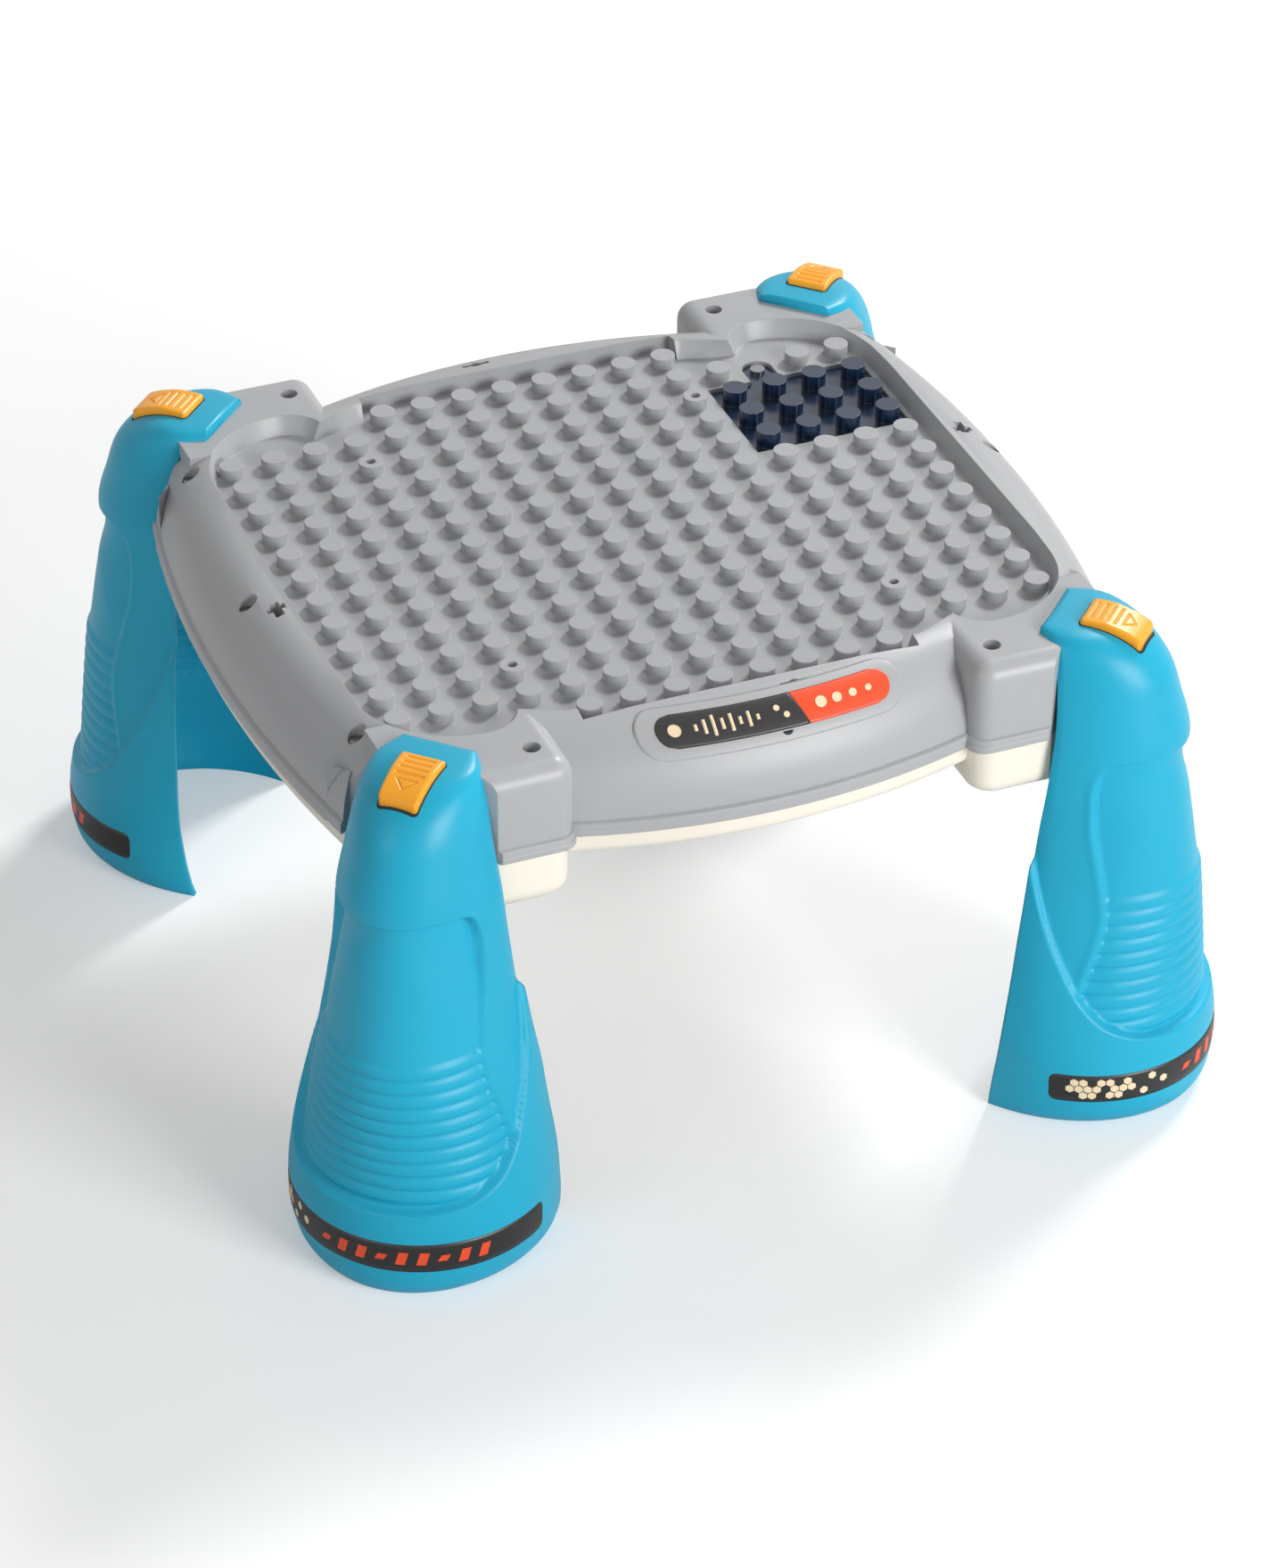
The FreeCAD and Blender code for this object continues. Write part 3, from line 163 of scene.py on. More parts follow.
MATERIALS = {
    "shell_grey": plastic("grey_plastic", (0.40, 0.407, 0.417), 0.36, edge=0.45),
    "shell_cream": plastic("cream_plastic", (0.88, 0.82, 0.71), 0.42, edge=0.5),
    "badge_black": plastic("black_print", (0.018, 0.016, 0.016), 0.34, edge=0.1),
    "screw_steel": metal("screw_steel", (0.30, 0.30, 0.31)),
    "spring_steel": metal("spring_steel", (0.62, 0.61, 0.60)),
    "cell_green": plastic("cell_sleeve", (0.08, 0.26, 0.15), 0.3, edge=0.3),
    "cover_navy": plastic("navy_plastic", (0.006, 0.02, 0.055), 0.22, edge=0.4, coat=0.3),
    "board_green": plastic("board_lacquer", (0.02, 0.16, 0.07), 0.3, edge=0.1),
    "mat_rubber": plastic("silicone", (0.42, 0.42, 0.43), 0.6, edge=0.3),
    "button_orange": plastic("orange_plastic", (1.0, 0.40, 0.012), 0.34, edge=0.25),
    "speaker_black": plastic("speaker_frame", (0.03, 0.03, 0.032), 0.5, edge=0.3),
    "key_white": plastic("key_plastic", (0.86, 0.85, 0.82), 0.3, edge=0.5),
    "leg_turquoise": plastic("turquoise_plastic", (0.012, 0.40, 0.60), 0.36, shine=0.32),
}
PRINT_RED = plastic("red_print", (0.83, 0.075, 0.015), 0.36)
# Painted shade: a near-black sheet laid where the slot round each button and the notch under the badge show
# only shadow.
SLOT_SHADE = plastic("slot_shadow", (0.004, 0.02, 0.028), 0.8)
PRINT_CREAM = plastic("cream_print", (0.86, 0.70, 0.46), 0.4)

for part in frame["record"]["subparts"]:
    node = frame["nodes"][part["node"]]
    node.data.materials.clear()
    node.data.materials.append(MATERIALS[part["material_slot"]])


# Mesh helpers

def mesh_object(name, points, faces, material, smooth=True):
    """Object from points in millimetres."""
    mesh = bpy.data.meshes.new(name)
    mesh.from_pydata([tuple(c * MM for c in p) for p in points], [], faces)
    mesh.validate()
    mesh.update()
    for polygon in mesh.polygons:
        polygon.use_smooth = smooth
    mesh.materials.append(material)
    piece = bpy.data.objects.new(name, mesh)
    bpy.context.collection.objects.link(piece)
    return piece


def turned(points, angle):
    """Points turned about the table's upright axis by an angle in degrees."""
    spin = math.radians(angle)
    turn = np.array([[math.cos(spin), -math.sin(spin), 0], [math.sin(spin), math.cos(spin), 0], [0, 0, 1]])
    return np.asarray(points) @ turn.T


def flipped(faces):
    """The same faces seen from their other side."""
    return [face[::-1] for face in faces]


def smoothstep(value, low, high):
    """Smooth rise from 0 at low to 1 at high."""
    share = np.clip((value - low) / (high - low), 0, 1)
    return share * share * (3 - 2 * share)


def edge_round(gap, radius):
    """Fall of a round over, in radii: 1 on the edge and 0 from one radius inside it."""
    return 1 - np.sqrt(np.clip(1 - (1 - np.clip(gap / radius, 0, 1)) ** 2, 0, 1))


def curve_through(keys, values):
    """Smooth monotone curve through a few key values."""
    keys = np.asarray(keys, float)
    values = np.asarray(values, float)
    steps = np.diff(values) / np.diff(keys)
    slopes = np.zeros_like(values)
    slopes[0] = steps[0]
    slopes[-1] = steps[-1]
    for k in range(1, len(values) - 1):
        if steps[k - 1] * steps[k] > 0:
            slopes[k] = 2 * steps[k - 1] * steps[k] / (steps[k - 1] + steps[k])

    def at(where):
        where = np.clip(np.asarray(where, float), keys[0], keys[-1])
        k = np.clip(np.searchsorted(keys, where) - 1, 0, len(keys) - 2)
        gap = keys[k + 1] - keys[k]
        share = (where - keys[k]) / gap
        s2 = share * share
        s3 = s2 * share
        return ((2 * s3 - 3 * s2 + 1) * values[k] + (s3 - 2 * s2 + share) * gap * slopes[k]
                + (3 * s2 - 2 * s3) * values[k + 1] + (s3 - s2) * gap * slopes[k + 1])
    return at


def slab_faces(rows, columns):
    """Faces of two stacked grids joined round their border."""
    count = rows * columns
    faces = []
    for r in range(rows - 1):
        for c in range(columns - 1):
            a = r * columns + c
            faces.append((a, a + columns, a + columns + 1, a + 1))
            faces.append((count + a, count + a + 1, count + a + columns + 1, count + a + columns))
    border = list(range(columns))
    border += [r * columns + columns - 1 for r in range(1, rows)]
    border += [(rows - 1) * columns + c for c in range(columns - 2, -1, -1)]
    border += [r * columns for r in range(rows - 2, 0, -1)]
    for a, b in zip(border, border[1:] + border[:1]):
        faces.append((a, b, count + b, count + a))
    return faces


def slab_mesh(grid_x, grid_y, upper_drop, lower_drop):
    """Closed slab between two drops over a grid of plan points."""
    rows, columns = grid_x.shape
    upper = np.c_[grid_x.ravel(), grid_y.ravel(), (TOP - upper_drop).ravel()]
    lower = np.c_[grid_x.ravel(), grid_y.ravel(), (TOP - lower_drop).ravel()]
    return np.vstack([upper, lower]), slab_faces(rows, columns)


def patch_mesh(outlines, place, proud, thick):
    """Thin raised patches, one for each outline; place gives a surface point and how far it stands proud."""
    points = []
    faces = []
    for outline in outlines:
        start = len(points)
        number = len(outline)
        for level in (proud, proud - thick):
            points += [place(along, up, level) for along, up in outline]
        faces.append(tuple(range(start, start + number)))
        faces.append(tuple(range(start + 2 * number - 1, start + number - 1, -1)))
        for k in range(number):
            following = (k + 1) % number
            faces.append((start + following, start + k, start + number + k, start + number + following))
    return points, faces


# Leg surface, in the leg's own frame: x out along the table's diagonal, drop under the stud tops

LEVELS = np.array([
    # drop, nose reach, middle, half width, width kept at the inner edge
    (-5.2, 180.0, 171.0, 13.0, 0.90),
    (-4.9, 182.8, 171.5, 15.2, 0.88),
    (-4.2, 186.5, 172.0, 17.4, 0.80),
    (-1.0, 194.5, 172.0, 20.2, 0.74),
    (4.0, 200.6, 173.0, 22.0, 0.95),
    (12.0, 206.0, 174.8, 23.6, 0.98),
    (21.0, 209.0, 175.5, 25.2, 0.98),
    (37.0, 213.2, 176.0, 28.2, 0.98),
    (45.0, 212.8, 176.0, 29.2, 0.98),
    (62.0, 217.2, 175.5, 31.6, 0.98),
    (78.0, 221.0, 175.5, 34.6, 0.97),
    (94.0, 223.6, 176.0, 37.4, 0.97),
    (111.0, 225.0, 177.0, 40.8, 0.97),
    (127.0, 226.2, 178.0, 43.4, 0.96),
    (148.0, 227.4, 180.0, 46.8, 0.95),
    (158.0, 229.0, 180.0, 47.8, 0.94),
    (168.0, 229.4, 180.0, 47.8, 0.94),
    (178.0, 228.4, 178.0, 46.5, 0.95),
    (182.5, 226.6, 175.0, 45.0, 0.96),
    (184.6, 225.0, 172.0, 43.5, 0.98),
])
nose_at, middle_at, half_at, keep_at = [curve_through(LEVELS[:, 0], LEVELS[:, k]) for k in (1, 2, 3, 4)]
INNER = np.array([(-5.2, 162.2), (-4.6, 161.1), (-2.4, 161.0), (-1.8, 161.4), (3.0, 169.0), (12.0, 171.4),
                  (32.0, 172.8), (45.0, 172.2), (78.0, 168.8), (111.0, 167.3), (150.0, 164.8),
                  (184.6, 160.6)])
inner_at = curve_through(INNER[:, 0], INNER[:, 1])

PANEL_EDGE = np.array([(214.0, 38.6), (204.0, 38.2), (198.0, 38.4), (193.5, 40.0), (190.6, 44.0),
                       (189.6, 50.0), (190.4, 64.0), (193.6, 77.0), (196.8, 90.0), (198.2, 99.0),
                       (197.4, 108.0), (195.2, 118.0), (192.3, 130.0), (189.0, 142.0)])
SKIRT_EDGE = np.array([(163.0, 70.0), (168.0, 80.0), (171.9, 91.0), (176.0, 101.0), (180.5, 110.5),
                       (186.0, 120.5), (191.0, 128.5), (197.0, 135.5), (203.0, 140.8), (213.8, 146.2),
                       (223.0, 148.2), (232.0, 149.0)])
HOOD_EDGE = 38.0            # drop at which the hood ends
PANEL_FULL = 86.0           # drop from which the panel lies at its full depth
PANEL_STEP = 2.6
PANEL_FADE = (-0.5, 0.8)
PANEL_BEAD = 0.55
PANEL_BEAD_BACK = 2.0
PANEL_BEAD_SPREAD = 2.2
PANEL_BEAD_RUN_IN = 10.0
SKIRT_FADE = (-0.6, 1.0)
NECK_NOSE = 1.7
NECK_FLANK = 4.6
NECK_UNDER_PANEL = 1.2
WAIST_DEPTH = 1.6
WAIST_DROPS = (120.0, 147.0)
RIB_FIRST = 94.0
RIB_PITCH = 5.5
RIB_COUNT = 10
RIB_HEIGHT = 1.5
RIB_BLUNT = 0.45            # power that rounds the ribs' crests
RIB_LEVEL = 0.3             # share of a rib's height that lies under the neck
RIB_FADE_FAR = 0.7
RIB_FADE_NEAR = 0.3
LEG_WALL = 2.5
HEAD_WALL = 2.75
HEAD_FOOT = 4.0             # drop to which the head's wall reaches
LINING_START = -2.9         # drop under which the leg is hollow
SKIN_INSET = 0.4            # the skin lies this far inside the solid's surface
FLANK_POINTS = 14
NOSE_POINTS = 130


def side_distance(edge, x, drop):
    """Signed distance in side view to an edge: positive on its right as it is walked."""
    best = np.full(x.shape, 1e9)
    sign = np.ones(x.shape)
    for (ax, ay), (bx, by) in zip(edge[:-1], edge[1:]):
        run = bx - ax
        fall = by - ay
        along = np.clip(((x - ax) * run + (drop - ay) * fall) / (run ** 2 + fall ** 2), 0, 1)
        gap = np.hypot(x - (ax + along * run), drop - (ay + along * fall))
        cross = run * (drop - ay) - fall * (x - ax)
        nearer = gap < best
        best = np.where(nearer, gap, best)
        sign = np.where(nearer, np.where(cross >= 0, 1, -1), sign)
    return best * sign


def smooth_edge(edge, number=60):
    """More points on a smooth curve through an edge's points."""
    reach = np.r_[0, np.cumsum(np.hypot(*np.diff(edge, axis=0).T))]
    where = np.linspace(0, reach[-1], number)
    return np.c_[curve_through(reach, edge[:, 0])(where), curve_through(reach, edge[:, 1])(where)]


PANEL_CURVE = smooth_edge(PANEL_EDGE)
SKIRT_CURVE = smooth_edge(SKIRT_EDGE)


def neck_depth(panel, flank, drop):
    """Depth of the ribbed neck, on its nose and its flanks, next to a panel's depth."""
    neck = NECK_NOSE + (NECK_FLANK - NECK_NOSE) * flank
    neck = neck + WAIST_DEPTH * smoothstep(drop, *WAIST_DROPS) * (1 - flank)
    neck = np.maximum(neck, panel + NECK_UNDER_PANEL)
    phase = (drop - RIB_FIRST) / RIB_PITCH
    wave = np.abs(np.cos(np.pi * phase)) ** RIB_BLUNT
    started = smoothstep(phase, -RIB_FADE_FAR, -RIB_FADE_NEAR)
    ended = smoothstep(phase, RIB_COUNT - RIB_FADE_FAR, RIB_COUNT - RIB_FADE_NEAR)
    return neck - RIB_HEIGHT * (wave - RIB_LEVEL) * started * (1 - ended)


def relief(x, across, drop):
    """How deep the leg's surface lies under the skirt's: panels, neck and ribs."""
    flank = np.clip((across / half_at(drop)) ** 2, 0, 1)
    panel = PANEL_STEP * smoothstep(drop, HOOD_EDGE, PANEL_FULL)
    neck = neck_depth(panel, flank, drop)
    from_panel = -side_distance(PANEL_CURVE, x, drop)
    inside = smoothstep(from_panel, *PANEL_FADE)
    bead = PANEL_BEAD * np.exp(-(from_panel + PANEL_BEAD_BACK) ** 2 / PANEL_BEAD_SPREAD)
    bead = bead * smoothstep(drop, HOOD_EDGE, HOOD_EDGE + PANEL_BEAD_RUN_IN)
    depth = panel + (neck - panel) * inside - bead
    from_rim = -side_distance(SKIRT_CURVE, x, drop)
    return depth * smoothstep(from_rim, *SKIRT_FADE) + SKIN_INSET


def leg_outline(drop):
    """Plan points of one section of the skirt's surface, from one inner edge round to the other."""
    nose = nose_at(drop)
    middle = middle_at(drop)
    half = half_at(drop)
    tip = inner_at(drop)
    keep = keep_at(drop)
    angle = np.linspace(-math.pi / 2, math.pi / 2, NOSE_POINTS)
    arc = np.c_[middle + (nose - middle) * np.cos(angle), half * np.sin(angle)]
    share = np.linspace(0, 1, FLANK_POINTS, endpoint=False)
    bow = keep + (1 - keep) * np.sin(share * math.pi / 2)
    flank = np.c_[tip + (middle - tip) * share, -half * bow]
    return np.r_[flank, arc, flank[::-1] * (1, -1)]


def row_normals(row):
    """Outward plan normals of a section's points."""
    along = np.gradient(row, axis=0)
    normal = np.c_[along[:, 1], -along[:, 0]]
    return normal / np.linalg.norm(normal, axis=1)[:, None]


def leg_rows():
    """Drops of the mesh rows, closer together on the head's dome and the ribs."""
    dome = [-5.2, -5.1, -4.9, -4.6, -4.2, -3.6, -2.9, -2.2, -1.4, -0.5, 0.6, 1.9, 3.4, 5.0, 6.8, 8.8, 11.0]
    plain = np.r_[np.arange(13.0, 37.0, 1.6), np.arange(37.0, 41.0, 0.4), np.arange(41.4, 88.0, 1.2)]
    ribbed = np.arange(88.4, 152.0, 0.62)
    foot = np.r_[np.arange(153.0, 176.0, 2.3), 177.0, 179.0, 180.6, 182.0, 183.2, 184.1, 184.6]
    return np.r_[dome, plain, ribbed, foot]


def leg_skins():
    """Rows of points of the leg's outside and of its lining, which starts under the head."""
    outer = []
    inner = []
    for drop in leg_rows():
        plan = leg_outline(drop)
        normal = row_normals(plan)
        depth = relief(plan[:, 0], plan[:, 1], np.full(len(plan), drop))
        wall = LEG_WALL if drop > HEAD_FOOT else HEAD_WALL
        height = np.full(len(plan), TOP - drop)
        outer.append(np.c_[plan - normal * depth[:, None], height])
        if drop > LINING_START:
            inner.append(np.c_[plan - normal * (depth + wall)[:, None], height])
    return outer, inner


def leg_mesh():
    """Closed skin of the leg: outside, inside and the edges between them."""
    outer, inner = leg_skins()
    width = len(outer[0])
    start = width * len(outer)
    faces = []
    for base, count, flip in ((0, len(outer), False), (start, len(inner), True)):
        for r in range(count - 1):
            for c in range(width - 1):
                a = base + r * width + c
                face = (a, a + width, a + width + 1, a + 1)
                faces.append(face[::-1] if flip else face)
    skipped = len(outer) - len(inner)
    for r in range(len(inner) - 1):
        for c, flip in ((0, False), (width - 1, True)):
            a = (r + skipped) * width + c
            b = start + r * width + c
            face = (a, b, b + width, a + width)
            faces.append(face[::-1] if flip else face)
    last_outer = (len(outer) - 1) * width
    last_inner = start + (len(inner) - 1) * width
    for c in range(width - 1):
        faces.append((last_outer + c, last_inner + c, last_inner + c + 1, last_outer + c + 1))
    faces.append(tuple(range(width)))
    faces.append(tuple(start + c for c in range(width))[::-1])
    left = [r * width for r in range(skipped + 1)] + [start]
    right = [i + width - 1 for i in left]
    faces.append(tuple(left[::-1] + right))
    return np.vstack(outer + inner), faces


leg_points, leg_faces = leg_mesh()
for corner, angle in CORNERS.items():
    leg = mesh_object("leg_" + corner, turned(leg_points, angle), leg_faces, MATERIALS["leg_turquoise"])
    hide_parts("leg_shell_" + corner)
    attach(leg, "leg_" + corner)


# Release buttons: a curved cap with grip grooves and an outward arrow

BUTTON_START = 173.2
BUTTON_LONG = 22.6
BUTTON_CREST = np.array([(0.0, -6.6), (1.5, -7.3), (8.0, -7.5), (15.0, -6.2), (20.0, -4.4), (22.6, -3.0)])
BUTTON_HALF = (8.0, 7.1)    # half width at the inner and at the outer end
BUTTON_CORNER = 1.4
BUTTON_EDGE = 0.9
BUTTON_EDGE_FALL = 0.8
BUTTON_BASE = -2.0
BUTTON_FALL = math.tan(math.radians(13.0))
BUTTON_THIN = 0.3
GROOVE_PLACES = (3.0, 6.0, 9.0, 12.0)
GROOVE_HALF_WIDE = 0.55
GROOVE_HALF_LONG = 5.4
GROOVE_DEPTH = 0.5
ARROW_FOOT = 14.2
ARROW_TIP = 19.0
ARROW_HALF = 4.6
ARROW_SLOPE = 1.4
ARROW_DEPTH = 0.45
CUT_RISE = 0.35             # over this width the walls of the grooves and the arrow go down
GAP_SIDE = 0.55
GAP_END = 0.9
GAP_CORNER = 1.8
GAP_PROUD = 0.1
GAP_SUNK = 0.5
HOOD_LOWEST = 40.0
HOOD_FINE = 0.1


def hood_drop(x, across):
    """Drop of the hood's outer surface under plan points."""
    best = np.full(np.shape(x), HOOD_LOWEST)
    for drop in np.arange(HOOD_LOWEST, LEVELS[0, 0] - 0.01, -HOOD_FINE):
        nose = nose_at(drop) - SKIN_INSET
        middle = middle_at(drop)
        half = half_at(drop) - SKIN_INSET
        ahead = np.clip(x - middle, 0, None) / (nose - middle)
        held = ahead ** 2 + (across / half) ** 2 <= 1
        best = np.where(held, drop, best)
    return best


def button_half(along):
    """Half width of the cap at a length from its inner end."""
    inner, outer = BUTTON_HALF
    return inner + (outer - inner) * along / BUTTON_LONG


def button_cuts(along, across):
    """Depth of the grip grooves and of the arrow's line in the cap's crest."""
    depth = 0.0
    for middle in GROOVE_PLACES:
        inside = smoothstep(GROOVE_HALF_WIDE - np.abs(along - middle), 0, CUT_RISE)
        depth = depth + GROOVE_DEPTH * inside * smoothstep(GROOVE_HALF_LONG - np.abs(across), 0, 0.4)
    width = ARROW_HALF * (1 - (along - ARROW_FOOT) / (ARROW_TIP - ARROW_FOOT))
    ring = np.minimum(width - np.abs(across), (along - ARROW_FOOT) * ARROW_SLOPE)
    return depth + ARROW_DEPTH * smoothstep(ring, 0, CUT_RISE) * (1 - smoothstep(ring, 0.7, 1.0))


def button_mesh():
    """Closed cap: a fine grid for its crest, walls and a plain underside."""
    crest = curve_through(BUTTON_CREST[:, 0], BUTTON_CREST[:, 1])
    along = np.r_[0, 0.1, 0.25, np.arange(0.5, BUTTON_LONG - 0.4, 0.28),
                  BUTTON_LONG - 0.2, BUTTON_LONG - 0.08, BUTTON_LONG]
    share = np.r_[-1, -0.985, -0.96, np.linspace(-0.92, 0.92, 41), 0.96, 0.985, 1]
    grid_x, grid_s = np.meshgrid(along, share, indexing="ij")
    from_end = np.minimum(grid_x, BUTTON_LONG - grid_x)
    half_width = button_half(grid_x) - BUTTON_CORNER * edge_round(from_end, BUTTON_CORNER)
    grid_y = half_width * grid_s
    from_edge = np.minimum(from_end, half_width - np.abs(grid_y))
    drop = crest(grid_x) + BUTTON_EDGE_FALL * edge_round(from_edge, BUTTON_EDGE) + button_cuts(grid_x, grid_y)
    base = np.maximum(BUTTON_BASE + BUTTON_FALL * grid_x, drop + BUTTON_THIN)
    return slab_mesh(BUTTON_START + grid_x, grid_y, drop, base)


def gap_mesh():
    """Sheet of painted shade for the slot that shows round the button, just over the hood."""
    along = np.linspace(-GAP_SIDE, BUTTON_LONG + GAP_END, 49)
    grid_x, grid_s = np.meshgrid(along, np.linspace(-1, 1, 33), indexing="ij")
    from_end = np.minimum(grid_x + GAP_SIDE, BUTTON_LONG + GAP_END - grid_x)
    half_width = GAP_SIDE + button_half(grid_x) - GAP_CORNER * edge_round(from_end, GAP_CORNER)
    grid_y = half_width * grid_s
    drop = hood_drop(BUTTON_START + grid_x, grid_y)
    return slab_mesh(BUTTON_START + grid_x, grid_y, drop - GAP_PROUD, drop + GAP_SUNK)


button_points, button_faces = button_mesh()
gap_points, gap_faces = gap_mesh()
for corner, angle in CORNERS.items():
    cap = mesh_object("button_" + corner + "_cap", turned(button_points, angle), button_faces,
                      MATERIALS["button_orange"])
    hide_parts("leg_button_" + corner)
    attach(cap, "button_" + corner)
    # The slot piece is a sheet of painted shade over the hood, in the gap round the button.
    slot = mesh_object("button_" + corner + "_slot", turned(gap_points, angle), gap_faces, SLOT_SHADE)
    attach(slot, "leg_" + corner)


# Printed strips round the feet

BAND_HIGH = 159.6
BAND_LOW = 171.4
BAND_MIDDLE = (BAND_HIGH + BAND_LOW) / 2
BAND_PROUD = 0.06
BAND_THICK = 0.5
BAND_START = 184.0          # the strip's ends stop at this x
BAND_ROUND = 3.2
PRINT_RAISE = 0.15
PRINT_THICK = 0.15
HEX_ROWS = {-1: (0, 1, 3, 4, 6, 9), 0: (0, 1, 2, 3, 5, 6, 7, 11), 1: (1, 2, 4, 5, 8)}
HEX_RADIUS = 1.75
HEX_DRAWN = 0.93            # this and the next three are in hexagon radii
HEX_PITCH = 1.85
HEX_SHIFT = 0.92
HEX_ROW_PITCH = 1.6
HEX_START = 7.5
BAR_COUNT = 9
BAR_FIRST = -14.0
BAR_PITCH = 7.4
BAR_WIDE = 3.4
BAR_SLANT = 1.4
BAR_TALL = 2.6
BAR_SHORT = 1.2


def band_outline(drop, proud):
    """Plan curve of the strip at one drop, with its length measured from the nose."""
    plan = leg_outline(drop)
    plan = plan - row_normals(plan) * (SKIN_INSET - proud)
    reach = np.r_[0, np.cumsum(np.hypot(*np.diff(plan, axis=0).T))]
    return plan, reach - reach[-1] / 2


def band_point(length, drop, proud):
    """Point of the strip at a length from the nose."""
    plan, reach = band_outline(drop, proud)
    return np.array([np.interp(length, reach, plan[:, 0]), np.interp(length, reach, plan[:, 1]), TOP - drop])


def band_reach():
    """Length from the nose at which the strip's rounded ends stop."""
    plan, reach = band_outline(BAND_MIDDLE, BAND_PROUD)
    return float(np.max(reach[plan[:, 0] >= BAND_START]))


BAND_HALF = band_reach()


def strip_mesh():
    """The strip itself: columns along the foot, its ends rounded."""
    from_end = np.array([0.1, 0.3, 0.6, 1.0, 1.6])
    even = np.linspace(-BAND_HALF, BAND_HALF, 121)
    lengths = np.sort(np.r_[even, BAND_HALF - from_end, from_end - BAND_HALF])
    heights = np.linspace(0, 1, 7)
    points = []
    for level in (BAND_PROUD, BAND_PROUD - BAND_THICK):
        for length in lengths:
            short = BAND_ROUND - (BAND_HALF - abs(length))
            cut = BAND_ROUND - math.sqrt(max(BAND_ROUND ** 2 - max(short, 0) ** 2, 0))
            cut = min(cut, BAND_ROUND * 0.98)
            for share in heights:
                drop = BAND_HIGH + cut + (BAND_LOW - BAND_HIGH - 2 * cut) * share
                points.append(band_point(length, drop, level))
    return points, flipped(slab_faces(len(lengths), len(heights)))


def hexagon(length, drop, radius):
    """Outline of one hexagon on the strip."""
    angles = [math.radians(60 * k) for k in range(6)]
    return [(length + radius * math.sin(a), drop + radius * math.cos(a)) for a in angles]


def hexagon_field():
    """Outlines of a loose field of hexagons at one end of the strip."""
    outlines = []
    for row, places in HEX_ROWS.items():
        drop = BAND_MIDDLE + row * HEX_RADIUS * HEX_ROW_PITCH
        shift = HEX_SHIFT if row else 0
        for place in places:
            length = HEX_START - BAND_HALF + HEX_RADIUS * (HEX_PITCH * place + shift)
            outlines.append(hexagon(length, drop, HEX_RADIUS * HEX_DRAWN))
    return outlines


def bar_row():
    """Outlines of a row of slanted bars, every third one short."""
    outlines = []
    for number in range(BAR_COUNT):
        right = number * BAR_PITCH + BAR_FIRST
        left = right - BAR_WIDE
        tall = BAR_TALL if number % 3 else BAR_SHORT
        outlines.append([(right, BAND_MIDDLE - tall), (left, BAND_MIDDLE - tall),
                         (left - BAR_SLANT, BAND_MIDDLE + tall), (right - BAR_SLANT, BAND_MIDDLE + tall)])
    return outlines


band_points, band_faces = strip_mesh()
hex_points, hex_faces = patch_mesh(hexagon_field(), band_point, BAND_PROUD + PRINT_RAISE, PRINT_THICK)
bar_points, bar_faces = patch_mesh(bar_row(), band_point, BAND_PROUD + PRINT_RAISE, PRINT_THICK)
for corner, angle in CORNERS.items():
    strip = mesh_object("band_" + corner + "_strip", turned(band_points, angle), band_faces,
                        MATERIALS["badge_black"])
    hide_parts("leg_band_" + corner)
    hexes = mesh_object("band_" + corner + "_hexagons", turned(hex_points, angle), hex_faces, PRINT_CREAM,
                        False)
    bars = mesh_object("band_" + corner + "_bars", turned(bar_points, angle), bar_faces, PRINT_RED, False)
    for piece in (strip, hexes, bars):
        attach(piece, "leg_" + corner)


# Top shell: the recess runs at full depth up to the end rims

FLOOR_TOP = TOP - 4.5
RIM = TOP + 2.3
SEAM = TOP - 32.0
STUD_RADIUS = 4.6
STUD_PITCH = 16.0
STUD_SIDES = 56
STUD_ROOT = 0.3             # the remade studs start this far under the recess's floor
END_STUDS = 8
END_ROW = 104.0
WELL_START = END_ROW - 5.0
WELL_END = 114.25
WELL_HALF = 62.5


def cylinder_mesh(x, y, low, high, radius, number):
    """Closed upright cylinder."""
    angles = [2 * math.pi * k / number for k in range(number)]
    points = [(x + radius * math.cos(a), y + radius * math.sin(a), z) for z in (low, high) for a in angles]
    faces = [tuple(range(number))[::-1], tuple(range(number, 2 * number))]
    for k in range(number):
        following = (k + 1) % number
        faces.append((k, following, number + following, number + k))
    return points, faces


def box_object(name, low, high):
    """Box between two opposite corners."""
    plan = ((low[0], low[1]), (high[0], low[1]), (high[0], high[1]), (low[0], high[1]))
    points = [(x, y, z) for z in (low[2], high[2]) for x, y in plan]
    faces = [(3, 2, 1, 0), (4, 5, 6, 7), (0, 1, 5, 4), (1, 2, 6, 5), (2, 3, 7, 6), (3, 0, 4, 7)]
    return mesh_object(name, points, faces, MATERIALS["shell_grey"], False)


def uncut_top():
    """Copy of the top shell's mesh, welded so that a boolean can cut it cleanly."""
    node = frame["nodes"]["top_shell"]
    mesh = node.data.copy()
    mesh.transform(node.matrix_world)
    for layer in [a for a in mesh.attributes if a.name in ("custom_normal", "sharp_edge", "sharp_face")]:
        mesh.attributes.remove(layer)
    welded = bmesh.new()
    welded.from_mesh(mesh)
    bmesh.ops.remove_doubles(welded, verts=welded.verts, dist=1e-6)
    welded.to_mesh(mesh)
    welded.free()
    shell = bpy.data.objects.new("top_shell_uncut", mesh)
    bpy.context.collection.objects.link(shell)
    return shell


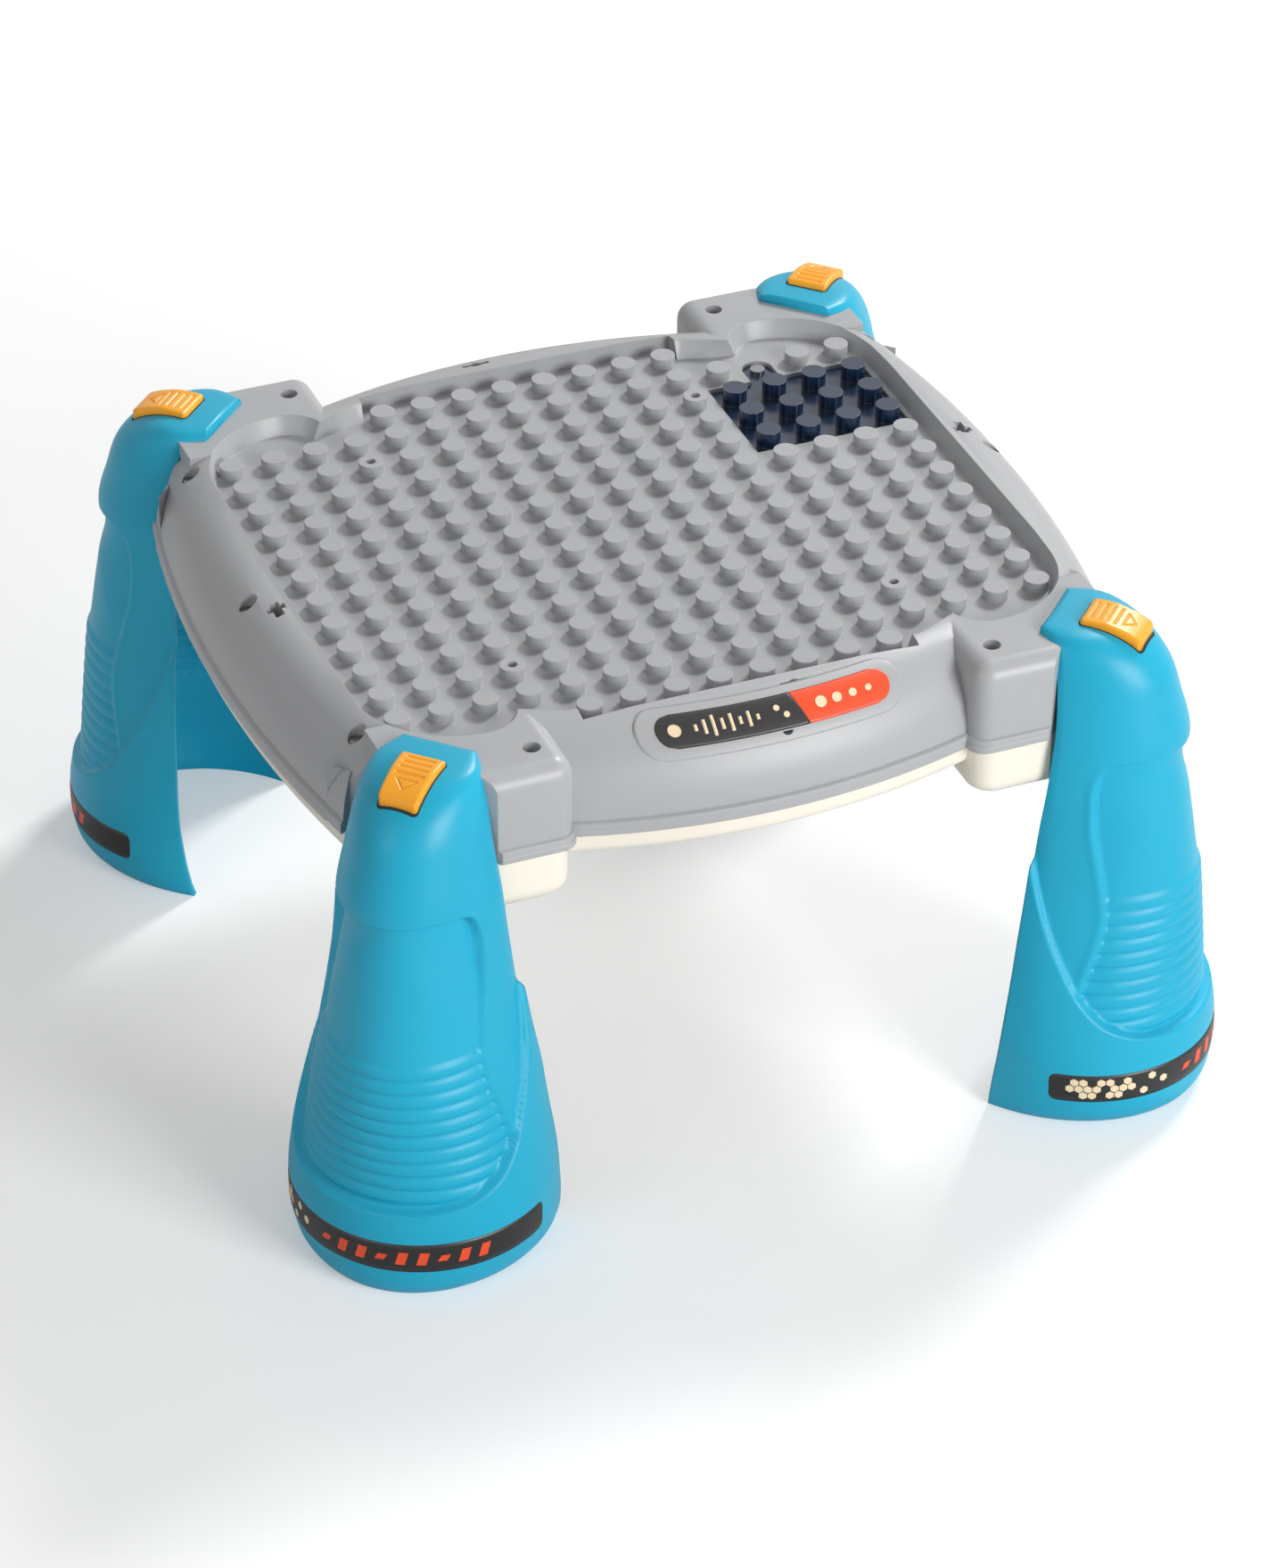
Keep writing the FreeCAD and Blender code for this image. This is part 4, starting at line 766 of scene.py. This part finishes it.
def carved_top():
    """The top shell with the shelf before each end rim taken out."""
    shell = uncut_top()
    boxes = []
    for side in (1, -1):
        ys = sorted((side * WELL_START, side * WELL_END))
        box = box_object("well_cut", (-WELL_HALF, ys[0], FLOOR_TOP + 0.01), (WELL_HALF, ys[1], RIM + 3))
        boxes.append(box)
        cut = shell.modifiers.new("cut", "BOOLEAN")
        cut.operation = "DIFFERENCE"
        cut.solver = "EXACT"
        cut.object = box
    graph = bpy.context.evaluated_depsgraph_get()
    cut_mesh = bpy.data.meshes.new_from_object(shell.evaluated_get(graph))
    cut_mesh.name = "top_shell_cut"
    for item in boxes + [shell]:
        bpy.data.objects.remove(item)
    cut_mesh.materials.clear()
    cut_mesh.materials.append(MATERIALS["shell_grey"])
    for polygon in cut_mesh.polygons:
        polygon.use_smooth = True
    cut_mesh.set_sharp_from_angle(angle=math.radians(24))
    top = bpy.data.objects.new("top_shell_cut", cut_mesh)
    bpy.context.collection.objects.link(top)
    return top


def on_table(piece):
    """Lets a piece ride on the table."""
    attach(piece, "table")


top_piece = carved_top()
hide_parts("top_shell")
on_table(top_piece)
for side in (1, -1):
    for column in range(END_STUDS):
        x = (column - (END_STUDS - 1) / 2) * STUD_PITCH
        points, faces = cylinder_mesh(x, side * END_ROW, FLOOR_TOP - STUD_ROOT, TOP, STUD_RADIUS, STUD_SIDES)
        stud = mesh_object("end_stud_%s_%d" % ("back" if side > 0 else "front", column), points, faces,
                           MATERIALS["shell_grey"], False)
        on_table(stud)


# Seam bead, cream skirt and the corners beside the legs

CHAMFER = 170.9
POCKET = math.atan(29.4 / 171.0)    # half the angle of a leg's pocket, from the table's middle
SIDE = 156.0
SIDE_BOW = 12.0
SIDE_DEPTH = 110.0
END = 143.5
END_BOW = 12.5
LOBE_LINE = 78.0
LOBE_NEAR = 74.0
LOBE_FAR = 139.0
LOBE_BACK = 96.0
LOBE_SIDE = 133.0
LOBE_ROUND = 8.0
OUTSIDE = 260.0             # farther out than any point of the table
RIM_LIMIT = math.radians(86)
SIDE_RIM = 20.0
END_RIM = 25.5
CORNER_SPAN = math.radians(3.2)
CORNER_BACK = 169.0
CORNER_LIMIT = 170.0
RING_SHARP = math.radians(35)
CORNER_SHARP = math.radians(40)


def bow_radius(half_chord, bow):
    """Radius of an arc from half its chord and its bow."""
    return (half_chord ** 2 + bow ** 2) / (2 * bow)


SIDE_RADIUS = bow_radius(SIDE_DEPTH, SIDE_BOW)
END_RADIUS = bow_radius(LOBE_LINE, END_BOW)


def inside_table(x, y, inset):
    """Whether a plan point of the first quarter lies inside the table's bowed outline."""
    side = SIDE - inset - (SIDE_RADIUS - math.sqrt(max(SIDE_RADIUS ** 2 - y * y, 0)))
    if x <= LOBE_LINE:
        end = END - inset - (END_RADIUS - math.sqrt(max(END_RADIUS ** 2 - x * x, 0)))
    else:
        fall = (END - END_BOW - SIDE_DEPTH) / (SIDE - SIDE_BOW - LOBE_LINE)
        end = (END - END_BOW - inset) - (x - LOBE_LINE) * fall
    return x <= side and y <= end


def table_edge(angle, inset):
    """Distance from the middle to the table's bowed outline, in one direction."""
    low = 0.0
    high = OUTSIDE
    for _ in range(40):
        middle = (low + high) / 2
        if inside_table(middle * abs(math.cos(angle)), middle * abs(math.sin(angle)), inset):
            low = middle
        else:
            high = middle
    return low


def ring_angles():
    """Directions round the table, with close pairs where the leg pockets start."""
    angles = list(np.radians(np.arange(0, 360, 1.0)))
    for quarter in CORNERS.values():
        for away in (POCKET - 0.0002, POCKET + 0.0002):
            angles += [math.radians(quarter) + away, math.radians(quarter) - away]
    return sorted(angles)


def pocketed(angle, inset):
    """Outline kept back from the leg's pocket at each corner."""
    reach = table_edge(angle, inset)
    quarter = math.radians(45) + math.radians(90) * math.floor(math.degrees(angle) / 90)
    away = abs(angle - quarter)
    if away < POCKET:
        reach = min(reach, (CHAMFER - 0.3 * max(inset, 0)) / math.cos(away))
    return reach


def ring_piece(name, profile, material):
    """Closed ring round the table; its section is a list of (inset, height)."""
    angles = ring_angles()
    points = []
    for inset, height in profile:
        for angle in angles:
            reach = pocketed(angle, inset)
            points.append((reach * math.cos(angle), reach * math.sin(angle), height))
    faces = []
    count = len(angles)
    for row in range(len(profile)):
        here = row * count
        above = (row + 1) % len(profile) * count
        for k in range(count):
            near = (k + 1) % count
            faces.append((here + k, here + near, above + near, above + k))
    piece = mesh_object(name, points, faces, material)
    piece.data.set_sharp_from_angle(angle=RING_SHARP)
    return piece


BEAD = [(3.4, SEAM), (3.4, SEAM + 5.3), (1.2, SEAM + 5.3), (-0.2, SEAM + 5.0), (-0.9, SEAM + 4.5),
        (-1.15, SEAM + 3.6), (-1.15, SEAM + 1.2), (-1.0, SEAM + 0.3), (-0.2, SEAM)]
SKIRT = [(6.4, SEAM - 2.0), (5.6, SEAM - 9.3), (4.4, SEAM - 9.3), (3.2, SEAM - 8.9), (2.2, SEAM - 8.0),
         (1.5, SEAM - 6.6), (1.2, SEAM - 5.0), (1.1, SEAM - 0.02), (4.6, SEAM - 0.02)]
on_table(ring_piece("seam_bead", BEAD, MATERIALS["shell_grey"]))
on_table(ring_piece("cream_skirt", SKIRT, MATERIALS["shell_cream"]))


def lobe_outline(inset):
    """Plan outline of one corner lobe, cut off beside the leg."""
    near = LOBE_NEAR + inset
    far = LOBE_FAR - inset
    limit = CHAMFER * math.sqrt(2)
    corner = [(near + LOBE_ROUND * (1 - math.cos(t)), far - LOBE_ROUND * (1 - math.sin(t)))
              for t in np.linspace(0, math.pi / 2, 9)]
    beside = [(limit - far, far), (LOBE_SIDE, limit - LOBE_SIDE), (LOBE_SIDE, LOBE_BACK)]
    return [(near, LOBE_BACK)] + corner + beside


def lobe_piece(name, profile, material, x_side, y_side):
    """Solid lobe from stacked outlines; profile is a list of (inset, height)."""
    points = []
    for inset, height in profile:
        points += [(x_side * x, y_side * y, height) for x, y in lobe_outline(inset)]
    count = len(lobe_outline(0))
    last = (len(profile) - 1) * count
    faces = [tuple(range(count)), tuple(range(last, last + count))[::-1]]
    for start in range(0, last, count):
        for k in range(count):
            near = (k + 1) % count
            faces.append((start + near, start + k, start + count + k, start + count + near))
    if x_side * y_side < 0:
        faces = flipped(faces)
    piece = mesh_object(name, points, faces, material)
    piece.data.set_sharp_from_angle(angle=RING_SHARP)
    return piece


LOBE_CREAM = [(1.0, SEAM - 0.02), (1.0, SEAM - 14.5), (1.3, SEAM - 16.6), (2.2, SEAM - 18.6),
              (3.6, SEAM - 20.2), (5.4, SEAM - 21.1), (7.4, SEAM - 21.4)]
LOBE_BEAD = [(-0.1, SEAM + 5.1), (-0.9, SEAM + 4.5), (-1.1, SEAM + 3.6), (-1.1, SEAM + 1.2),
             (-0.9, SEAM + 0.3), (-0.2, SEAM)]
for corner, (x_side, y_side) in CORNER_SIDES.items():
    cream = lobe_piece("lobe_cream_" + corner, LOBE_CREAM, MATERIALS["shell_cream"], x_side, y_side)
    bead = lobe_piece("lobe_bead_" + corner, LOBE_BEAD, MATERIALS["shell_grey"], x_side, y_side)
    on_table(cream)
    on_table(bead)


def rim_profile(turn, depth):
    """Inset and height of the rim's rounded edge at a turn over it."""
    inset = depth * (1 - np.cos(turn)) / (1 - math.cos(RIM_LIMIT))
    height = SEAM + (RIM - SEAM) * np.sin(turn) / math.sin(RIM_LIMIT)
    return inset, height


def corner_piece(name, x_side, y_side):
    """Side rim carried on beside the leg, past the cut corner."""
    finish = math.radians(45) - POCKET
    angles = np.linspace(finish - CORNER_SPAN, finish, 12)
    rows = []
    for turn in np.linspace(0, RIM_LIMIT, 40):
        inset, height = rim_profile(turn, SIDE_RIM)
        if table_edge(finish, inset) < CORNER_LIMIT / math.cos(POCKET) + 0.3:
            break
        rows.append((inset, height))
    outer = []
    inner = []
    for inset, height in rows:
        for angle in angles:
            back = CORNER_BACK / math.cos(math.radians(45) - angle)
            reach = max(table_edge(angle, inset), back + 0.05)
            outer.append((x_side * reach * math.cos(angle), y_side * reach * math.sin(angle), height))
            inner.append((x_side * back * math.cos(angle), y_side * back * math.sin(angle), height))
    faces = slab_faces(len(rows), len(angles))
    if x_side * y_side > 0:
        faces = flipped(faces)
    piece = mesh_object(name, outer + inner, faces, MATERIALS["shell_grey"])
    piece.data.set_sharp_from_angle(angle=CORNER_SHARP)
    return piece


for corner, (x_side, y_side) in CORNER_SIDES.items():
    on_table(corner_piece("rim_corner_" + corner, x_side, y_side))


# Badge on the front rim: a plain two-colour plate with simple shapes

BADGE_TILT = math.radians(38.0)
BADGE_MIDDLE = 2.5
BADGE_HALF = 43.5
BADGE_ROUND = 6.4
BADGE_HIGH = 6.4            # half its height, up the slope
BADGE_PROUD = 0.32
BADGE_THICK = 1.0
SPLIT = 11.0                # x of the line between black and red, on the middle of the slope
SPLIT_SLANT = 0.35
SURROUND_MIDDLE = BADGE_MIDDLE - 1
SURROUND_HALF = 49.5
SURROUND_ROUND = 9.5
SURROUND_HIGH = 10.4
SURROUND_PROUD = 0.12
BAR_HEIGHTS = (1.2, 2.6, 3.8, 2.0, 3.2, 1.4, 2.8, 1.0)
BADGE_BAR_FIRST = -27.0
BADGE_BAR_PITCH = 3.2
BADGE_BAR_HALF = 0.6
BADGE_BAR_PROUD = 0.42
BADGE_BAR_THICK = 0.3
DISC_SIDES = 24
SHAPES_PROUD = 0.5
NOTCH_PROUD = 0.2
SHAPES_THICK = 0.2


def rim_table():
    """Slope length against turn over the front rim's rounded edge, from the badge's middle."""
    turns = np.linspace(math.radians(20), RIM_LIMIT, 400)
    insets, heights = rim_profile(turns, END_RIM)
    lengths = np.r_[0, np.cumsum(np.hypot(np.diff(insets), np.diff(heights)))]
    middle_turn = math.atan2((RIM - SEAM) * math.cos(BADGE_TILT), END_RIM * math.sin(BADGE_TILT))
    return lengths - np.interp(middle_turn, turns, lengths), insets, heights


RIM_LENGTHS, RIM_INSETS, RIM_HEIGHTS = rim_table()


def rim_point(x, slope, proud):
    """Point over the front rim: x along it, slope up it and proud off it."""
    inset = np.interp(slope, RIM_LENGTHS, RIM_INSETS)
    height = np.interp(slope, RIM_LENGTHS, RIM_HEIGHTS)
    ahead_inset = np.interp(slope + 0.2, RIM_LENGTHS, RIM_INSETS)
    ahead_height = np.interp(slope + 0.2, RIM_LENGTHS, RIM_HEIGHTS)
    run = math.hypot(ahead_inset - inset, ahead_height - height)
    out = (ahead_height - height) / run
    up = (ahead_inset - inset) / run
    y = END - inset - (END_RADIUS - math.sqrt(END_RADIUS ** 2 - x * x)) + out * proud
    return (x, -y, height + up * proud)


def plate(name, left, right, half, proud, thick, material, columns=60, rows=15):
    """Curved slab between two end lines; left and right give x for a slope."""
    points = []
    for level in (proud, proud - thick):
        for share in [column / (columns - 1) for column in range(columns)]:
            for row in range(rows):
                slope = -half + 2 * half * row / (rows - 1)
                x = left(slope) + (right(slope) - left(slope)) * share
                points.append(rim_point(x, slope, level))
    return mesh_object(name, points, slab_faces(columns, rows), material)


def rounded_end(sign, middle, half_length, radius, half):
    """End line of a plate that bulges out by a radius."""
    def at(slope):
        bulge = math.sqrt(max(1 - (slope / half) ** 2, 0))
        return middle + sign * (half_length - radius + radius * bulge)
    return at


def upright(x):
    """End line of a plate that runs straight up the slope."""
    return lambda slope: x


def split(slope):
    """Slanted line between the badge's two colours."""
    return SPLIT - SPLIT_SLANT * slope


def surround_end(sign):
    return rounded_end(sign, SURROUND_MIDDLE, SURROUND_HALF, SURROUND_ROUND, SURROUND_HIGH)


def badge_end(sign):
    return rounded_end(sign, BADGE_MIDDLE, BADGE_HALF, BADGE_ROUND, BADGE_HIGH)


surround = plate("badge_surround", surround_end(-1), surround_end(1), SURROUND_HIGH, SURROUND_PROUD,
                 BADGE_THICK, MATERIALS["shell_grey"], 90, 25)
black = plate("badge_black_part", badge_end(-1), split, BADGE_HIGH, BADGE_PROUD, BADGE_THICK,
              MATERIALS["badge_black"])
red = plate("badge_red_part", split, badge_end(1), BADGE_HIGH, BADGE_PROUD, BADGE_THICK, PRINT_RED)
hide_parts("front_badge")
on_table(surround)
on_table(black)
on_table(red)


def disc(x, slope, radius):
    """Outline of a disc on the badge."""
    angles = [2 * math.pi * k / DISC_SIDES for k in range(DISC_SIDES)]
    return [(x + radius * math.cos(a), slope + radius * math.sin(a)) for a in angles]


def badge_patch(name, outlines, proud, material):
    """Raised shapes on the badge, as one piece."""
    points, faces = patch_mesh(outlines, rim_point, proud, SHAPES_THICK)
    return mesh_object(name, points, faces, material, False)


for k, tall in enumerate(BAR_HEIGHTS):
    x = BADGE_BAR_FIRST + BADGE_BAR_PITCH * k
    bar = plate("badge_bar_%d" % k, upright(x - BADGE_BAR_HALF), upright(x + BADGE_BAR_HALF), tall,
                BADGE_BAR_PROUD, BADGE_BAR_THICK, PRINT_CREAM, 2, 9)
    on_table(bar)
badge_outlines = [disc(-34.5, 0.0, 2.3), disc(2.6, 1.6, 1.1), disc(5.6, -1.4, 1.1)]
badge_outlines += [disc(19.0 + 6.2 * k, 0.0, 2.1 - 0.3 * k) for k in range(4)]
on_table(badge_patch("badge_shapes", badge_outlines, SHAPES_PROUD, PRINT_CREAM))
notch = [(4.5 + 1.9 * math.cos(t), -6.9 - 1.5 * math.sin(t)) for t in np.linspace(math.pi, 0, 13)]
# The notch under the badge is a dark sheet of painted shade.
on_table(badge_patch("badge_notch", [notch], NOTCH_PROUD, SLOT_SHADE))


# Stage and light

FLOOR_GREY = 0.80
FLOOR_GLOW = 0.28           # lifts the floor to the photograph's white, for the camera alone
FLOOR_REACH = 30000
WORLD_LIGHT = 0.32
LAMP_AIM = (0, 0, 0.1)

floor_material, floor_nodes, floor_links, floor_shader = new_material("floor")
floor_shader.inputs["Base Color"].default_value = (FLOOR_GREY, FLOOR_GREY, FLOOR_GREY, 1)
floor_shader.inputs["Roughness"].default_value = 0.9
floor_shader.inputs["Specular IOR Level"].default_value = 0.0
floor_path = floor_nodes.new("ShaderNodeLightPath")
floor_glow = floor_nodes.new("ShaderNodeMath")
floor_glow.operation = "MULTIPLY"
floor_glow.inputs[1].default_value = FLOOR_GLOW
floor_links.new(floor_path.outputs["Is Camera Ray"], floor_glow.inputs[0])
floor_links.new(floor_glow.outputs[0], floor_shader.inputs["Emission Strength"])
floor_shader.inputs["Emission Color"].default_value = (1, 1, 1, 1)
floor_corners = [(-FLOOR_REACH, -FLOOR_REACH, 0), (FLOOR_REACH, -FLOOR_REACH, 0),
                 (FLOOR_REACH, FLOOR_REACH, 0), (-FLOOR_REACH, FLOOR_REACH, 0)]
floor = mesh_object("floor", floor_corners, [(0, 1, 2, 3)], floor_material, False)

world = bpy.data.worlds.new("studio")
bpy.context.scene.world = world
world.use_nodes = True
world_nodes = world.node_tree.nodes
world_links = world.node_tree.links
background = world_nodes["Background"]
path = world_nodes.new("ShaderNodeLightPath")


def greater_of(first, second):
    """Output of a world node that takes the greater of two outputs."""
    greater = world_nodes.new("ShaderNodeMath")
    greater.operation = "MAXIMUM"
    world_links.new(first, greater.inputs[0])
    world_links.new(second, greater.inputs[1])
    return greater.outputs[0]


clear = greater_of(path.outputs["Is Glossy Ray"], path.outputs["Is Transmission Ray"])
seen = greater_of(path.outputs["Is Camera Ray"], clear)
level = world_nodes.new("ShaderNodeMapRange")
level.inputs["To Min"].default_value = WORLD_LIGHT
level.inputs["To Max"].default_value = 1.0
world_links.new(seen, level.inputs["Value"])
world_links.new(level.outputs["Result"], background.inputs["Strength"])
background.inputs["Color"].default_value = (1, 1, 1, 1)


def lamp(name, place, wide, power):
    """Square lamp that looks at the table's middle."""
    data = bpy.data.lights.new(name, "AREA")
    data.shape = "SQUARE"
    data.size = wide
    data.energy = power
    item = bpy.data.objects.new(name, data)
    item.location = place
    item.rotation_euler = (Vector(LAMP_AIM) - Vector(place)).to_track_quat("-Z", "Y").to_euler()
    bpy.context.collection.objects.link(item)


lamp("key", (1.5, 1.0, 1.8), 0.55, 38)
lamp("front", (0.8, -1.9, 0.9), 1.0, 34)
lamp("side", (-1.7, -0.9, 1.0), 0.7, 3)
